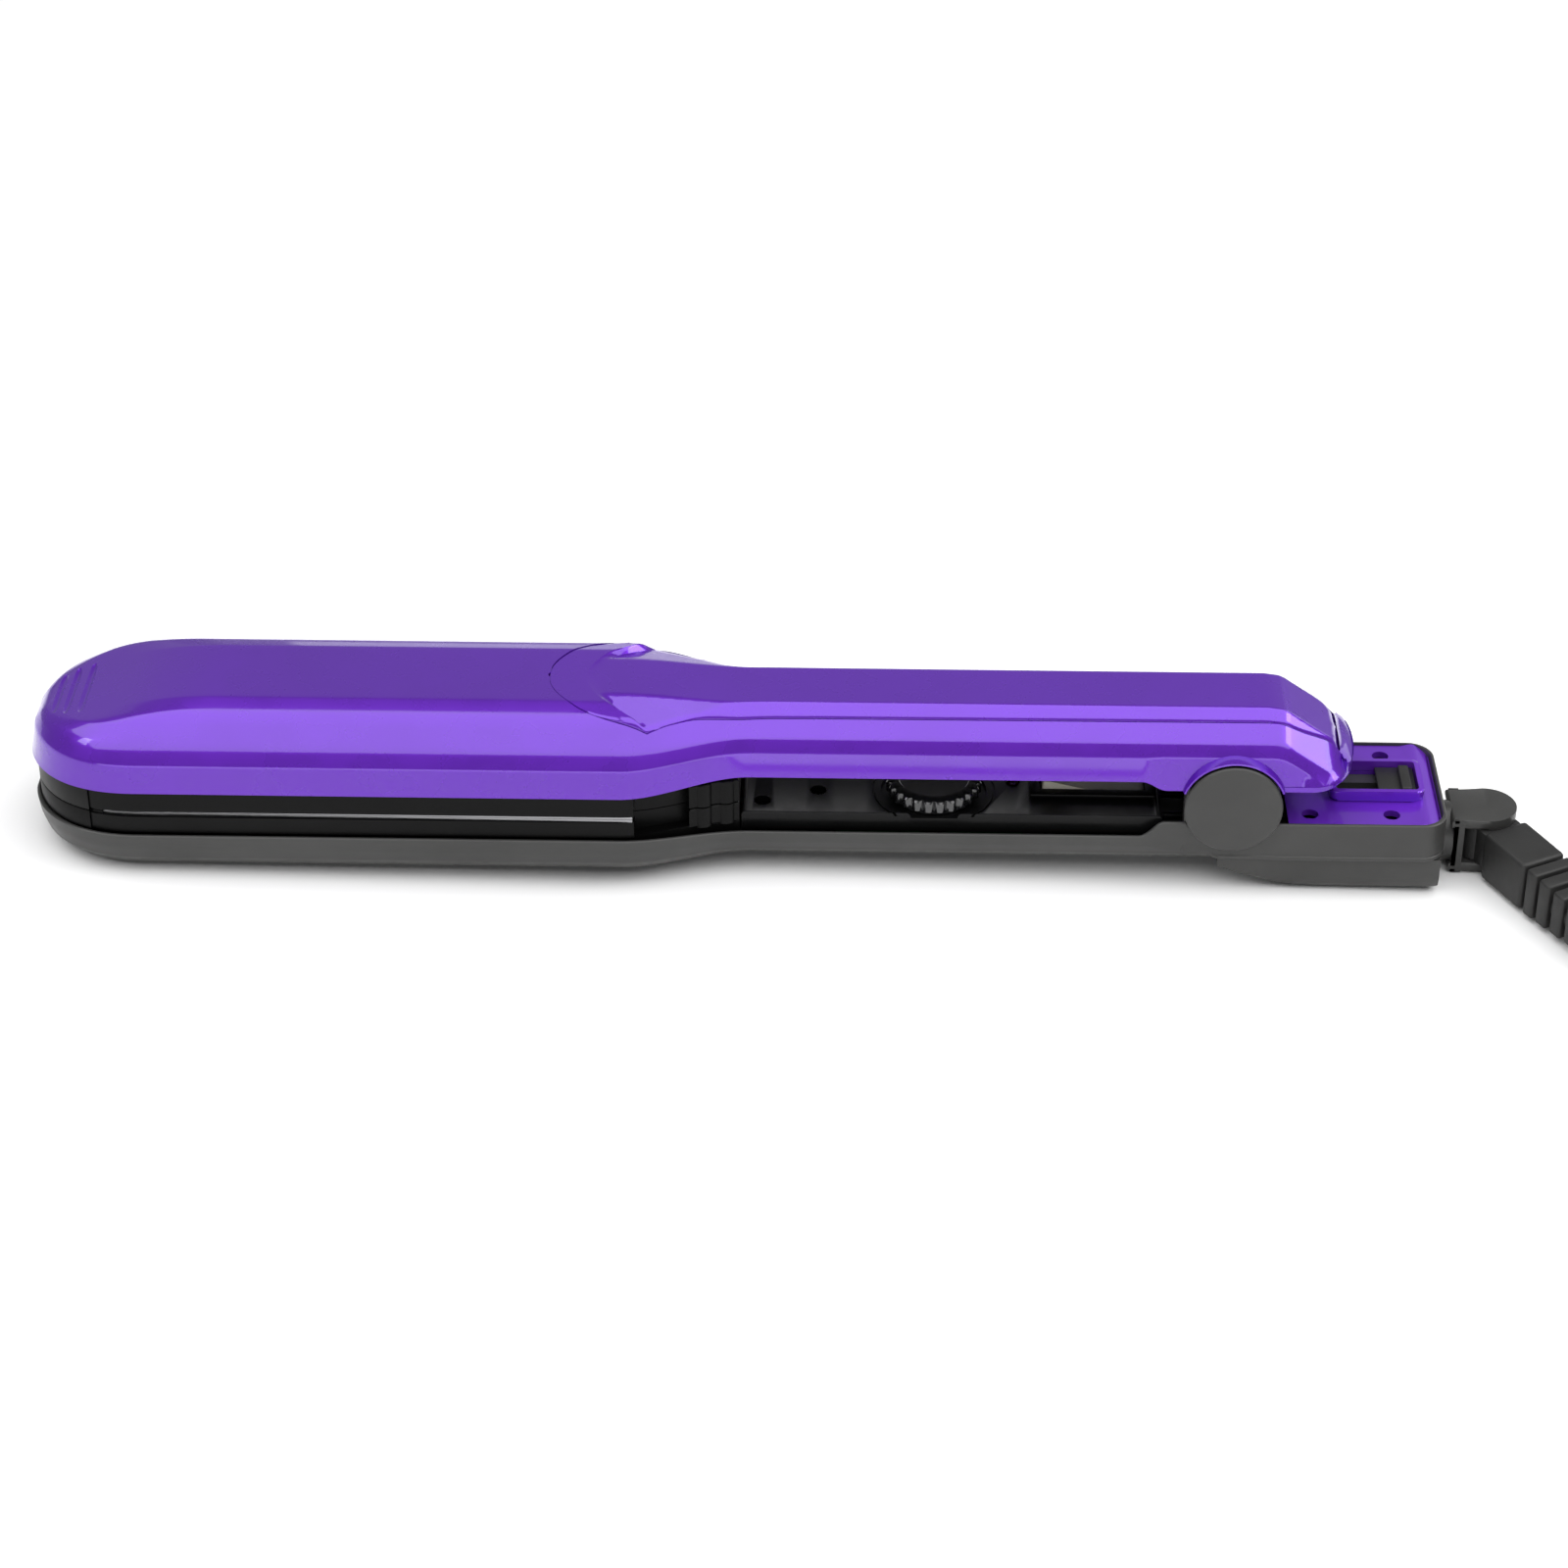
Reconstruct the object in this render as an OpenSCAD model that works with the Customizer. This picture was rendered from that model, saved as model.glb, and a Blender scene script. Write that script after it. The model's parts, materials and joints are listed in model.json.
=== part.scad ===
// Hair crimper: two hinged arms with ridged heating plates, a swivel cord and a mains plug.
// Millimetres. X runs from the nose to the cord, Y across the arms and Z up.
// The arms are drawn level and then tipped by lie_angle, so that the crimper lies on a table
// at z = 0 on the nose of its lower shell and on the bulge of its rear cover.

/* [Arms] */
// Width of the plate head
head_w = 45; // [44:0.5:46]
// Width of the handle
grip_w = 31; // [31:0.5:32]
// Height at which the two plates meet
seam_z = 19.9; // [19.8:0.05:20]
// Angle at which the closed crimper lies
lie_angle = 1.25; // [1.2:0.05:1.3]

/* [Plates] */
// Length of a heating plate
plate_len = 105.8; // [100:0.5:106]
// Height of the crimping ridges
ridge_h = 2; // [1:0.1:2.2]
// Number of ridges and valleys across a plate
ridge_steps = 16; // [12:2:24]

/* [Hinge] */
// Distance from the middle of the body to the hinge
hinge_x = 91.4; // [91:0.1:92]
// Height of the hinge
hinge_z = 21.3; // [21:0.1:21.6]
// Radius of the round hinge caps
cap_r = 9.8; // [9.5:0.1:10]
// Radius of the hinge pin
pin_r = 3; // [2.5:0.1:3]

/* [Controls] */
// Radius of the temperature dial
dial_r = 9.8; // [9:0.1:10]
// Length of the power rocker
rocker_len = 20.6; // [18:0.2:21]

/* [Cord] */
// Diameter of the cord
cord_d = 6.5; // [6:0.1:6.5]
// Heading of the cord guard, turned from straight back
guard_turn = 62; // [55:1:65]

/* [Hidden] */
$fn = 64;

purple = [0.38, 0.20, 0.72];
charcoal = [0.25, 0.25, 0.25];
black = [0.07, 0.07, 0.08];
steel = [0.75, 0.75, 0.77];
gap = 0.1;
screw_r = 1.05;

// How far the tipped body is lowered onto the table and moved along it, to centre it on the origin
lay_drop = 2.75;
lay_shift = 0.24;

// Outline of the arms seen from above
nose_x = -151;
nose_len = 24;
nose_power = 2.2;
nose_angles = [9, 20, 32, 44, 56, 68, 80, 90];
waist_x = [-31, -5];
step_x = [73, 78];
floor_step_x = [87.4, 89];
rear_w = 31.6;
rear_widens_x = [96, 102];
tail_r = 5;
upper_x = [-110, -60, -31, -27, -24, -21, -18, -15, -12, -9, -5, 30, 60, 73, 74.5, 76, 78, 90];
lower_x = [
    -110, -60, -31, -27, -24, -21, -18, -15, -12, -9, -5, 30, 60, 73, 74.5, 76, 78,
    87.4, 87.9, 88.4, 89, 96, 98, 100, 102
];

// Plates and what carries them
plate_x0 = -134.1;
plate_x1 = plate_x0 + plate_len;
plate_half = 21;
plate_body_half = 17;
plate_lip = 1.4;
plate_body = 3.6;
barrier_x = [-17, -7.2];

// Lower handle
panel_x = [-6.8, 77.6];
panel_top = 16.8;
dial_at = [31.9, -3.4];
switch_x = 64;
rocker_z = 15.4;
rocker_rest = 7;

// Tail
tray_x = [102.6, 133];
tray_top = 17.3;
recess_x = [113, 129.8];
recess_half = 5.2;
rear_x = 134.8;
ledge_z = 8.35;

// Swivel and guard
swivel_z = 6.1;
knuckle_x = 144.6;
fork_r = 6.2;
fork_plate = 2.1;
shaft_r = 4;
guard_len = 46;
guard_w = 10.2;
guard_z = [-5.9, 4.9];

// The cord lies on the table in a few bends and then in a hank held by a tie.
cord_route = [
    [166.4, -40.8, 6.5], [168.7, -45.2, 6.4], [171.6, -49.2, 6.1], [175.4, -52.5, 5.6],
    [179.8, -54.8, 5.0], [184.6, -56.2, 4.4], [190, -56.7, 3.9], [196, -56.6, 3.5],
    [203, -56.3, 3.3], [210, -56, 3.25]
];
hank_c = [210, -29.75];
hank_run = 112;
hank_r = 29.5;
hank_h = 3 * cord_d;
tie_x = 240;
tie_w = 12;
tie_t = 1.2;
end_route = [
    [208, -45.6, 20.5], [217, -45.2, 22.6], [226, -43.4, 24.4], [235, -39.8, 25.7],
    [244, -35.6, 26.4], [252, -31.6, 26.5], [261, -29.75, 26.5], [270, -29.75, 26.5]
];
plug_at = [270, hank_c.y, hank_h];

function mix(a, b, t) = a + (b - a) * t;
function ease(t) = let (c = min(1, max(0, t))) c * c * (3 - 2 * c);
function share(x, span) = ease((x - span[0]) / (span[1] - span[0]));
function half_width(x, rear) =
    mix(mix(head_w, grip_w, share(x, waist_x)), rear, share(x, rear_widens_x)) / 2;

// Half of an arm's outline from the nose to the tail, as [x, y] points.
// It is inset by the list [at the head, at the handle], and xs are its points along the side.
function half_outline(inset, tail, rear = grip_w, xs = upper_x) = concat(
    [for (a = nose_angles) let (r = nose_len - inset[0], w = head_w / 2 - inset[0])
        [nose_x + nose_len - r * pow(cos(a), 2 / nose_power), w * pow(sin(a), 2 / nose_power)]],
    [for (x = xs) [x, half_width(x, rear) - mix(inset[0], inset[1], share(x, waist_x))]],
    [for (a = [0, 30, 60, 90])
        [tail - tail_r + tail_r * sin(a), rear / 2 - inset[1] - tail_r + tail_r * cos(a)]]
);

// A ring closed by the other half of its points, in reverse
function across(p) = len(p) == 3 ? [p.x, -p.y, p.z] : [p.x, -p.y];
function both_sides(half) = concat(half, [for (i = [len(half) - 1:-1:0]) across(half[i])]);

// A solid through rings of points of the same count, lowest first
module loft(halves) {
    m = len(halves[0]);
    n = 2 * m;
    top = (len(halves) - 1) * n;
    walls = [for (k = [0:n:top - n], i = [0:n - 1])
        [k + i, k + (i + 1) % n, k + n + (i + 1) % n, k + n + i]];
    base = [for (i = [0:m - 2]) [i, n - 1 - i, n - 2 - i, i + 1]];
    lid = [for (i = [0:m - 2]) [top + i, top + i + 1, top + n - 2 - i, top + n - 1 - i]];
    polyhedron([for (h = halves) each both_sides(h)], concat(walls, base, lid));
}

// An upright prism over an arm's outline
module prism(inset, tail, z0, z1, rear = grip_w) {
    xs = [for (x = lower_x) if (x < tail - tail_r - gap) x];
    translate([0, 0, z0])
        linear_extrude(z1 - z0)
            polygon(both_sides(half_outline(inset, tail, rear, xs)));
}

// A box from one corner to the other, centred across the arm
module span_box(x0, x1, half, z0, z1) {
    translate([x0, -half, z0]) cube([x1 - x0, 2 * half, z1 - z0]);
}

// A slab of an arm's outline between two places along it
module slab(inset, x0, x1, z0, z1, tail = 113, rear = grip_w) {
    intersection() {
        prism([inset, inset], tail, z0, z1, rear);
        span_box(x0, x1, head_w, z0 - 1, z1 + 1);
    }
}

// A cylinder along Y, or along X
module rod_y(x, z, y0, y1, r) {
    translate([x, y1, z]) rotate([90, 0, 0]) cylinder(h = y1 - y0, r = r);
}
module rod_x(x0, x1, y, z, r) {
    translate([x0, y, z]) rotate([0, 90, 0]) cylinder(h = x1 - x0, r = r);
}

// Pan-head screws along Z. A head sits on the height seat, outside it by head_h, and the shank
// runs from there by length, downwards where length is negative.
module screws(places, seat, length, head_h = 1, head_r = 2) {
    dir = sign(length);
    for (p = places)
        translate([p.x, p.y, seat]) mirror([0, 0, dir > 0 ? 0 : 1]) {
            translate([0, 0, -head_h]) cylinder(h = head_h, r = head_r);
            cylinder(h = abs(length), r = screw_r);
        }
}

// Round posts that the screws bite into
module posts(places, z0, z1) {
    for (p = places)
        translate([p.x, p.y, z0]) cylinder(h = z1 - z0, r = 2.3);
}

// Level arms, tipped and lowered onto the table
module laid() {
    translate([lay_shift, 0, -lay_drop]) rotate([0, -lie_angle, 0]) children();
}

// The same, with what would reach below the table cut off flat
module laid_on_table() {
    difference() {
        laid() children();
        translate([-200, -40, -10]) cube([400, 80, 10]);
    }
}

// ---- Upper arm ----

// Insets and heights of the upper shell's edges at [head, handle], and where each ends at the tail
upper_levels = [
    [[0, 0], [25.6, 26.8], 115], [[0.25, 0.3], [26.6, 27.9], 116],
    [[1.1, 1.6], [31.4, 31.9], 115.3], [[3.6, 4], [35.8, 35.6], 110.5],
    [[8.2, 7.3], [40, 37.8], 105], [[12.5, 9.1], [40.8, 39.1], 102]
];
upper_step = 2;
cover_screws = [[10, 0], [62, 0]];
cover_z = 27.2;
cover_top = 29.2;
cover_seat = 28.3;
nose_rim = 33.5;
nose_slope = 0.245;

// Height of an edge of the upper shell, below the sloping nose and stepped down at the hinge
function upper_z(level, x) =
    min(mix(level[1][0], level[1][1], share(x, waist_x)), nose_rim + nose_slope * (x - nose_x))
    - (level[1][0] < 27 ? upper_step * share(x, step_x) : 0);

module upper_body() {
    loft([for (l = upper_levels)
        [for (p = half_outline(l[0], l[2])) [p.x, p.y, upper_z(l, p.x)]]]);
}

// The space of the inlay panel: a leaf shape that narrows to a band and runs down the tail
module inlay_space(clear) {
    edge = [
        [-45.5, 0], [-45.1, 3.4], [-43.4, 7], [-40.4, 10.6], [-36.4, 13.4], [-31.2, 15], [-25.3, 15.9],
        [-20.5, 12.9], [-14.5, 10.4], [-6, 9.2], [97, 8.4]
    ];
    translate([0, 0, 37.3 - clear])
        linear_extrude(5)
            offset(delta = clear)
                polygon(both_sides(edge));
    translate([94, 0, 41.4])
        rotate([0, 28.4, 0])
            translate([0, -8.2 - clear, -1.6 - clear])
                cube([21 + clear, 16.4 + 2 * clear, 6]);
}

module upper_shell() {
    color(purple)
        laid()
            difference() {
                union() {
                    difference() {
                        upper_body();
                        prism([2.2, 2.2], 113, 20, 30);
                        slab(5.2, -140, 104, 29.9, 33.8, tail = 104);
                        slab(9.5, -126, 94, 33.7, 36.2, tail = 102);
                        span_box(108, 120, 7, 20, 27);
                    }
                    posts(cover_screws, cover_top + gap, 36.5);
                }
                screws(cover_screws, cover_seat, 6);
                inlay_space(0.15);
                for (y = [11.2, -21.2])
                    rod_y(hinge_x, hinge_z, y, y + 10, cap_r + 0.8);
            }
}

module upper_inlay() {
    color(purple)
        laid()
            intersection() {
                upper_body();
                inlay_space(0);
            }
}

module upper_inner_cover() {
    color(black)
        laid()
            difference() {
                union() {
                    slab(2.4, panel_x[0], hinge_x - 11, cover_z, cover_top);
                    span_box(hinge_x - 12, hinge_x + 8, 10.9, cover_z, cover_top);
                    for (side = [-1, 1])
                        translate([hinge_x, side * 7.25 + 3.65, hinge_z])
                            rotate([90, 0, 0])
                                linear_extrude(7.3) {
                                    circle(7);
                                    translate([-7, 0]) square([14, 6.5]);
                                }
                }
                rod_y(hinge_x, hinge_z, -12, 12, pin_r + 0.06);
                screws(cover_screws, cover_seat, 6, 3, 2.1);
            }
}

module upper_cover_screws() {
    color(steel) laid() screws(cover_screws, cover_seat, 6);
}

// The zigzag of the crimping faces, offset up by dz, from the back edge to the front edge
function ridges(dz) = [for (i = [ridge_steps:-1:0])
    [plate_half * (2 * i / ridge_steps - 1),
     seam_z + dz + (i == 0 || i == ridge_steps ? 0 : (i % 2 == 0 ? -ridge_h : ridge_h) / 2)]];

module plate(dir) {
    lip = seam_z + dir * (gap / 2 + plate_lip);
    back = seam_z + dir * (gap / 2 + plate_body);
    translate([plate_x0, 0, 0])
        rotate([90, 0, 90])
            linear_extrude(plate_len)
                polygon(concat(
                    [[-plate_half, lip], [-plate_body_half, lip], [-plate_body_half, back],
                     [plate_body_half, back], [plate_body_half, lip], [plate_half, lip]],
                    ridges(dir * gap / 2)
                ));
}

module upper_plate() {
    color(steel) laid() plate(1);
}

module upper_plate_holder() {
    lip = seam_z + gap / 2 + plate_lip + 0.05;
    color(black)
        laid()
            difference() {
                union() {
                    slab(2.3, nose_x, barrier_x[1], 25.4, 28);
                    slab(1.1, nose_x, plate_x1, lip, 25.5);
                    slab(1.1, nose_x, plate_x0 - gap, seam_z + gap, 25.5);
                    slab(4.5, plate_x1 + gap, barrier_x[0], seam_z + gap, 25.5);
                    slab(1.4, barrier_x[0] - gap, barrier_x[1], seam_z + gap, 25.5);
                }
                span_box(plate_x0, plate_x1, plate_body_half + gap, 19, 30);
            }
}

module heater(z0) {
    span_box(-126, -36, 9, z0, z0 + 2.3);
}

module upper_heater() {
    color("white") laid() heater(seam_z + plate_body + 0.1);
}

// A sprung bridge that presses a heater onto its plate
module heater_clamp(z0, dir) {
    for (x = [-116, -81, -46])
        translate([x - 5, 0, z0]) mirror([0, 0, dir < 0 ? 1 : 0]) {
            translate([0, -16.8, 1.2]) cube([10, 33.6, 0.8]);
            for (y = [-16.8, 15.8])
                translate([0, y, -2.2]) cube([10, 1, 3.5]);
            translate([0, -6, 0]) cube([10, 12, 1.3]);
        }
}

module upper_heater_clamp() {
    color(steel) laid() heater_clamp(seam_z + plate_body + 2.5, 1);
}

module upper_leads() {
    color("red")
        laid()
            for (y = [-4, 4])
                rod_x(-34, hinge_x - 16, y, 31, 0.9);
}

// ---- Lower arm ----

// Insets and heights of the lower shell's edges at [head, handle, rear], lowest first
lower_levels = [
    [[7.5, 7], [5.5, 5.7, ledge_z], floor_step_x, 1.2], [[4, 3.6], [6.6, 6.6, 8.8], floor_step_x, 0.5],
    [[1.4, 1.3], [9.4, 8.8, 9.5], floor_step_x, 0], [[0.3, 0.2], [12.6, 11.5, 13.4], step_x, 0],
    [[0, 0], [15.5, 13.7, 17.2], step_x, 0]
];
function lower_z(level, x) =
    mix(mix(level[1][0], level[1][1], share(x, waist_x)), level[1][2], share(x, level[2]));

// A point of the lower shell, whose inset changes behind the hinge
function lower_point(level, p) =
    [p.x, p.y + (level[0][1] - level[3]) * share(p.x, floor_step_x), lower_z(level, p.x)];

module lower_body() {
    loft([for (l = lower_levels)
        [for (p = half_outline(l[0], rear_x, rear_w, lower_x)) lower_point(l, p)]]);
}

// Half an ear of the hinge, seen along Y: a disc on a foot
module ear(y) {
    translate([hinge_x, y, hinge_z])
        rotate([90, 0, 0])
            linear_extrude(3.3) {
                circle(cap_r - 0.2);
                translate([0.2 - cap_r, -11.6]) square([2 * cap_r - 0.4, 11.6]);
            }
}

rear_screws = [[104, 9], [104, -9]];
rear_seat = 4.2;
panel_screws = [[-2.7, -8], [8.5, -4]];
panel_seat = 15.8;
tray_screws = [[107.4, 11], [107.4, -11], [123.8, 11], [123.8, -11]];
tray_seat = 16.6;

module lower_shell() {
    color(charcoal)
        laid_on_table()
            difference() {
                union() {
                    difference() {
                        lower_body();
                        prism([1.6, 1.6], rear_x - 1.6, 15.9, 20, rear_w);
                        prism([2, 2], rear_x - 2, 11.9, 20, rear_w);
                        prism([2.8, 2.8], rear_x - 2, 9.9, 12, rear_w);
                        prism([4.8, 4.8], 86, 7.4, 10);
                    }
                    ear(14.95);
                    ear(-11.65);
                    posts(panel_screws, 7, 14.8);
                    posts(tray_screws, 9, 15.9);
                }
                rod_y(hinge_x, hinge_z, -16, 16, pin_r + 0.02);
                for (y = [14.95, -24.95])
                    rod_y(hinge_x, hinge_z, y, y + 10, cap_r + 0.3);
                rod_x(113, 140, 0, swivel_z, 5.25);
                screws(rear_screws, rear_seat, 7);
                screws(panel_screws, panel_seat, -6);
                screws(tray_screws, tray_seat, -5.5);
            }
}

module lower_inner_panel() {
    color(black)
        laid()
            difference() {
                union() {
                    slab(2.5, panel_x[0], panel_x[1], 14.9, panel_top);
                    slab(2.1, panel_x[0], panel_x[1], 12.8, 15.7);
                }
                slab(3.5, panel_x[0] + 1.5, panel_x[1] - 1.5, 12, 14.9);
                translate([dial_at.x, dial_at.y, 15.9]) cylinder(h = 3, r = dial_r + 0.9);
                translate([dial_at.x, dial_at.y, 10]) cylinder(h = 8, r = 2.6);
                span_box(switch_x - rocker_len / 2 - 1.5, switch_x + rocker_len / 2 + 1.5,
                         5.3, 12, 20);
                translate([48, 0, 12]) cylinder(h = 8, r = 1.5);
                screws(panel_screws, panel_seat, -6, 3, 1.7);
            }
}

module lower_panel_screws() {
    color(steel) laid() screws(panel_screws, panel_seat, -6, 0.8, 1.6);
}

module lower_plate() {
    color(steel) laid() plate(-1);
}

module lower_plate_holder() {
    lip = seam_z - gap / 2 - plate_lip - 0.05;
    color(black)
        laid()
            difference() {
                union() {
                    slab(2.3, nose_x, barrier_x[1], 12, 15.7);
                    slab(1.1, nose_x, plate_x1, 15.6, lip);
                    slab(1.1, nose_x, plate_x0 - gap, 15.6, seam_z - gap);
                    slab(4.5, plate_x1 + gap, barrier_x[0], 15.6, seam_z - gap);
                    slab(1.4, barrier_x[0] - gap, barrier_x[1], 15.6, seam_z - gap);
                }
                span_box(plate_x0, plate_x1, plate_body_half + gap, 10, 20);
            }
}

module lower_heater() {
    color("white") laid() heater(seam_z - plate_body - 0.1 - 2.3);
}

module lower_heater_clamp() {
    color(steel) laid() heater_clamp(seam_z - plate_body - 2.5, -1);
}

module lower_leads() {
    color("red")
        laid()
            for (y = [0.6, 5])
                rod_x(-40, 11.8, y, 9.4, 0.9);
}

module control_board() {
    color("green") laid() span_box(12, 50, 9, 8.6, 10.2);
}

module dial_pot() {
    color(black)
        laid()
            difference() {
                translate([dial_at.x, dial_at.y, 10.2]) cylinder(h = 4.4, r = 6.4);
                translate([dial_at.x, dial_at.y, 11.2]) cylinder(h = 5, r = 2.05);
            }
}

module dial_shaft() {
    color(steel)
        laid()
            translate([dial_at.x, dial_at.y, 11.3]) cylinder(h = 7, r = 2);
}

module dial_knob() {
    color([0.85, 0.85, 0.88])
        laid()
            translate([dial_at.x, dial_at.y, 16.1])
                difference() {
                    union() {
                        cylinder(h = 3.6, r = dial_r - 0.7);
                        for (a = [0:15:345])
                            rotate([0, 0, a])
                                translate([dial_r - 1, 0, 0])
                                    cylinder(h = 3.6, r = 1, $fn = 24);
                    }
                    translate([0, 0, -1]) cylinder(h = 3.2, r = 2);
                }
}

module switch_body() {
    half = rocker_len / 2;
    color(black)
        laid()
            difference() {
                union() {
                    span_box(switch_x - half - 1.4, switch_x + half + 1.4, 5.2, 9.4, 16);
                    span_box(switch_x - half - 2.4, switch_x + half + 2.4, 6.2,
                             panel_top, panel_top + 0.7);
                    span_box(switch_x - half - 1.4, switch_x + half + 1.4, 5.2, 15.9, 17);
                }
                span_box(switch_x - half - 0.4, switch_x + half + 0.4, 4.1, 10.6, 20);
                rod_y(switch_x, rocker_z, -6, 6, 1.05);
            }
}

module power_rocker() {
    half = rocker_len / 2;
    color([0.45, 0.44, 0.41])
        laid()
            translate([switch_x, 0, rocker_z])
                rotate([0, rocker_rest, 0]) {
                    translate([0, 4, 0])
                        rotate([90, 0, 0])
                            linear_extrude(8)
                                polygon([
                                    [-half, 2.9], [0, 1.7], [half, 2.9], [half, 0],
                                    [4, -2.4], [-4, -2.4], [-half, 0]
                                ]);
                    rotate([90, 0, 0]) cylinder(h = 10, r = 1, center = true);
                }
}

module indicator_lens() {
    color("red")
        laid()
            translate([48, 0, 13.4]) {
                cylinder(h = 3.6, r = 1.4);
                translate([0, 0, -0.4]) cylinder(h = 1.8, r = 2);
            }
}

module power_leads() {
    color("red")
        laid()
            for (y = [-4, 4])
                rod_x(78.5, 114, y, 11.4, 0.9);
}

module tail_tray() {
    color(purple)
        laid()
            difference() {
                union() {
                    slab(1.7, tray_x[0], rear_x, 16, tray_top, tail = rear_x - 1.7, rear = rear_w);
                    span_box(recess_x[0] - 1.2, recess_x[1] + 1.2, recess_half + 1.1,
                             tray_top - 0.5, 19.2);
                }
                span_box(recess_x[0], recess_x[1], recess_half, 10, 20);
                screws(tray_screws, tray_seat, -5.5, 3, 1.7);
            }
}

module tail_tray_screws() {
    color(steel) laid() screws(tray_screws, tray_seat, -5.5, 0.6, 1.6);
}

module lock_track() {
    color(black)
        laid()
            difference() {
                span_box(recess_x[0] + 0.05, recess_x[1] - 0.05, recess_half - 0.05, 12.8, 16);
                span_box(recess_x[0] + 1, recess_x[1] - 1, 2, 14, 17);
            }
}

module lock_slider() {
    color(black)
        laid() {
            span_box(121.9, 129.6, recess_half - 0.15, 16.1, 16.9);
            span_box(126.4, 128.6, recess_half - 0.8, 16.5, 19);
            span_box(123.4, 126, 1.8, 14.4, 16.5);
        }
}

// The bulge under the tail, with rounded lower edges
module rear_cover() {
    ramp = [for (i = [0:8]) let (t = i / 8) [mix(89.1, 119, t), 6.6 * pow(1 - t, 2.2)]];
    color(charcoal)
        laid_on_table()
            difference() {
                intersection() {
                    translate([0, 20, 0])
                        rotate([90, 0, 0])
                            linear_extrude(40)
                                polygon(concat([[89.1, ledge_z - 0.05]], ramp,
                                               [[133, 0], [134, 1], [134, ledge_z - 0.05]]));
                    translate([80, 0, 0])
                        rotate([90, 0, 90])
                            linear_extrude(60)
                                union() {
                                    translate([-10.6, 0]) square([21.2, 12]);
                                    translate([-14.6, 4]) square([29.2, 8]);
                                    for (side = [-1, 1])
                                        translate([side * 10.6, 4]) circle(4);
                                }
                }
                span_box(113, 132, 11, 2, 12);
                rod_x(110, 140, 0, swivel_z, 5.25);
                screws(rear_screws, rear_seat, 7, 5, 2.1);
                span_box(92, 113, 6, 6.5, 12);
            }
}

module rear_cover_screws() {
    color(steel) laid() screws(rear_screws, rear_seat, 7);
}

module hinge_pin() {
    color(steel) laid() rod_y(hinge_x, hinge_z, -14.9, 14.9, pin_r);
}

// A round cap over one end of the hinge, with a bevelled rim
module hinge_cap(side) {
    translate([hinge_x, side * 15, hinge_z])
        rotate([-90 * side, 0, 0])
            rotate_extrude()
                polygon([[0, 0], [cap_r, 0], [cap_r, 1.4], [cap_r - 0.5, 2], [0, 2.1]]);
}

module front_hinge_cap() {
    color(charcoal) laid() hinge_cap(-1);
}

module back_hinge_cap() {
    color(charcoal) laid() hinge_cap(1);
}

module hinge_washers() {
    color(steel)
        laid()
            for (y = [-11.6, 10.95])
                difference() {
                    rod_y(hinge_x, hinge_z, y, y + 0.65, 6.5);
                    rod_y(hinge_x, hinge_z, y - 1, y + 2, pin_r + 0.05);
                }
}

module opening_spring() {
    wire = 0.7;
    coil_r = 4.4;
    pitch = 1.3;
    color(steel)
        laid() {
            translate([hinge_x, 0, hinge_z])
                rotate([90, 0, 0])
                    rotate_extrude()
                        for (i = [0:3])
                            translate([coil_r, (i - 1.5) * pitch]) circle(wire);
            rod_x(hinge_x - 9, hinge_x - 1, 1.5 * pitch, hinge_z + coil_r - 0.1, wire - 0.1);
            rod_x(hinge_x - 9, hinge_x - 1, -1.5 * pitch, hinge_z - coil_r + 0.1, wire - 0.1);
        }
}

// ---- Swivel, guard and cord ----

module swivel_bush() {
    color("white")
        laid()
            difference() {
                rod_x(118, 133.8, 0, swivel_z, 5.2);
                rod_x(110, 140, 0, swivel_z, shaft_r + 0.05);
            }
}

// The neck turns in the bush and carries the guard in a fork
module swivel_neck() {
    fork_z = fork_r - fork_plate;
    color(charcoal)
        laid()
            difference() {
                union() {
                    rod_x(115.6, 136, 0, swivel_z, shaft_r);
                    rod_x(115.6, 117.6, 0, swivel_z, 5);
                    rod_x(134.95, 138, 0, swivel_z, fork_r);
                    span_box(137, knuckle_x, fork_r, swivel_z - fork_r, swivel_z + fork_r);
                    translate([knuckle_x, 0, swivel_z - fork_r])
                        cylinder(h = 2 * fork_r, r = fork_r);
                }
                span_box(knuckle_x - fork_r - 0.3, 160, 20, swivel_z - fork_z, swivel_z + fork_z);
                translate([knuckle_x, 0, swivel_z - fork_r + 0.5])
                    cylinder(h = 2 * fork_r - 1, r = 1.5);
            }
}

module knuckle_pin() {
    color(steel)
        laid()
            translate([knuckle_x, 0, swivel_z - fork_r + 0.5])
                cylinder(h = 2 * fork_r - 1, r = 1.5);
}

module cord_guard() {
    fork_z = fork_r - fork_plate - 0.1;
    slot = 1;
    pitch = 4.4;
    color(charcoal)
        laid()
            translate([knuckle_x, 0, swivel_z])
                rotate([0, 0, -guard_turn])
                    difference() {
                        union() {
                            translate([0, 0, -fork_z]) cylinder(h = 2 * fork_z, r = 5.9);
                            span_box(0, 8, 4.6, -fork_z, fork_z);
                            span_box(6.7, 24, guard_w / 2, guard_z[0], guard_z[1]);
                            for (i = [0:4])
                                span_box(24 + slot + i * pitch, 24 + (i + 1) * pitch,
                                         guard_w / 2 - 0.2 * i, guard_z[0] + 0.25 * i,
                                         guard_z[1] - 0.25 * i);
                            rod_x(23, guard_len, 0, -0.5, 3.9);
                        }
                        translate([0, 0, -10]) cylinder(h = 20, r = 1.55);
                    }
}

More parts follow.
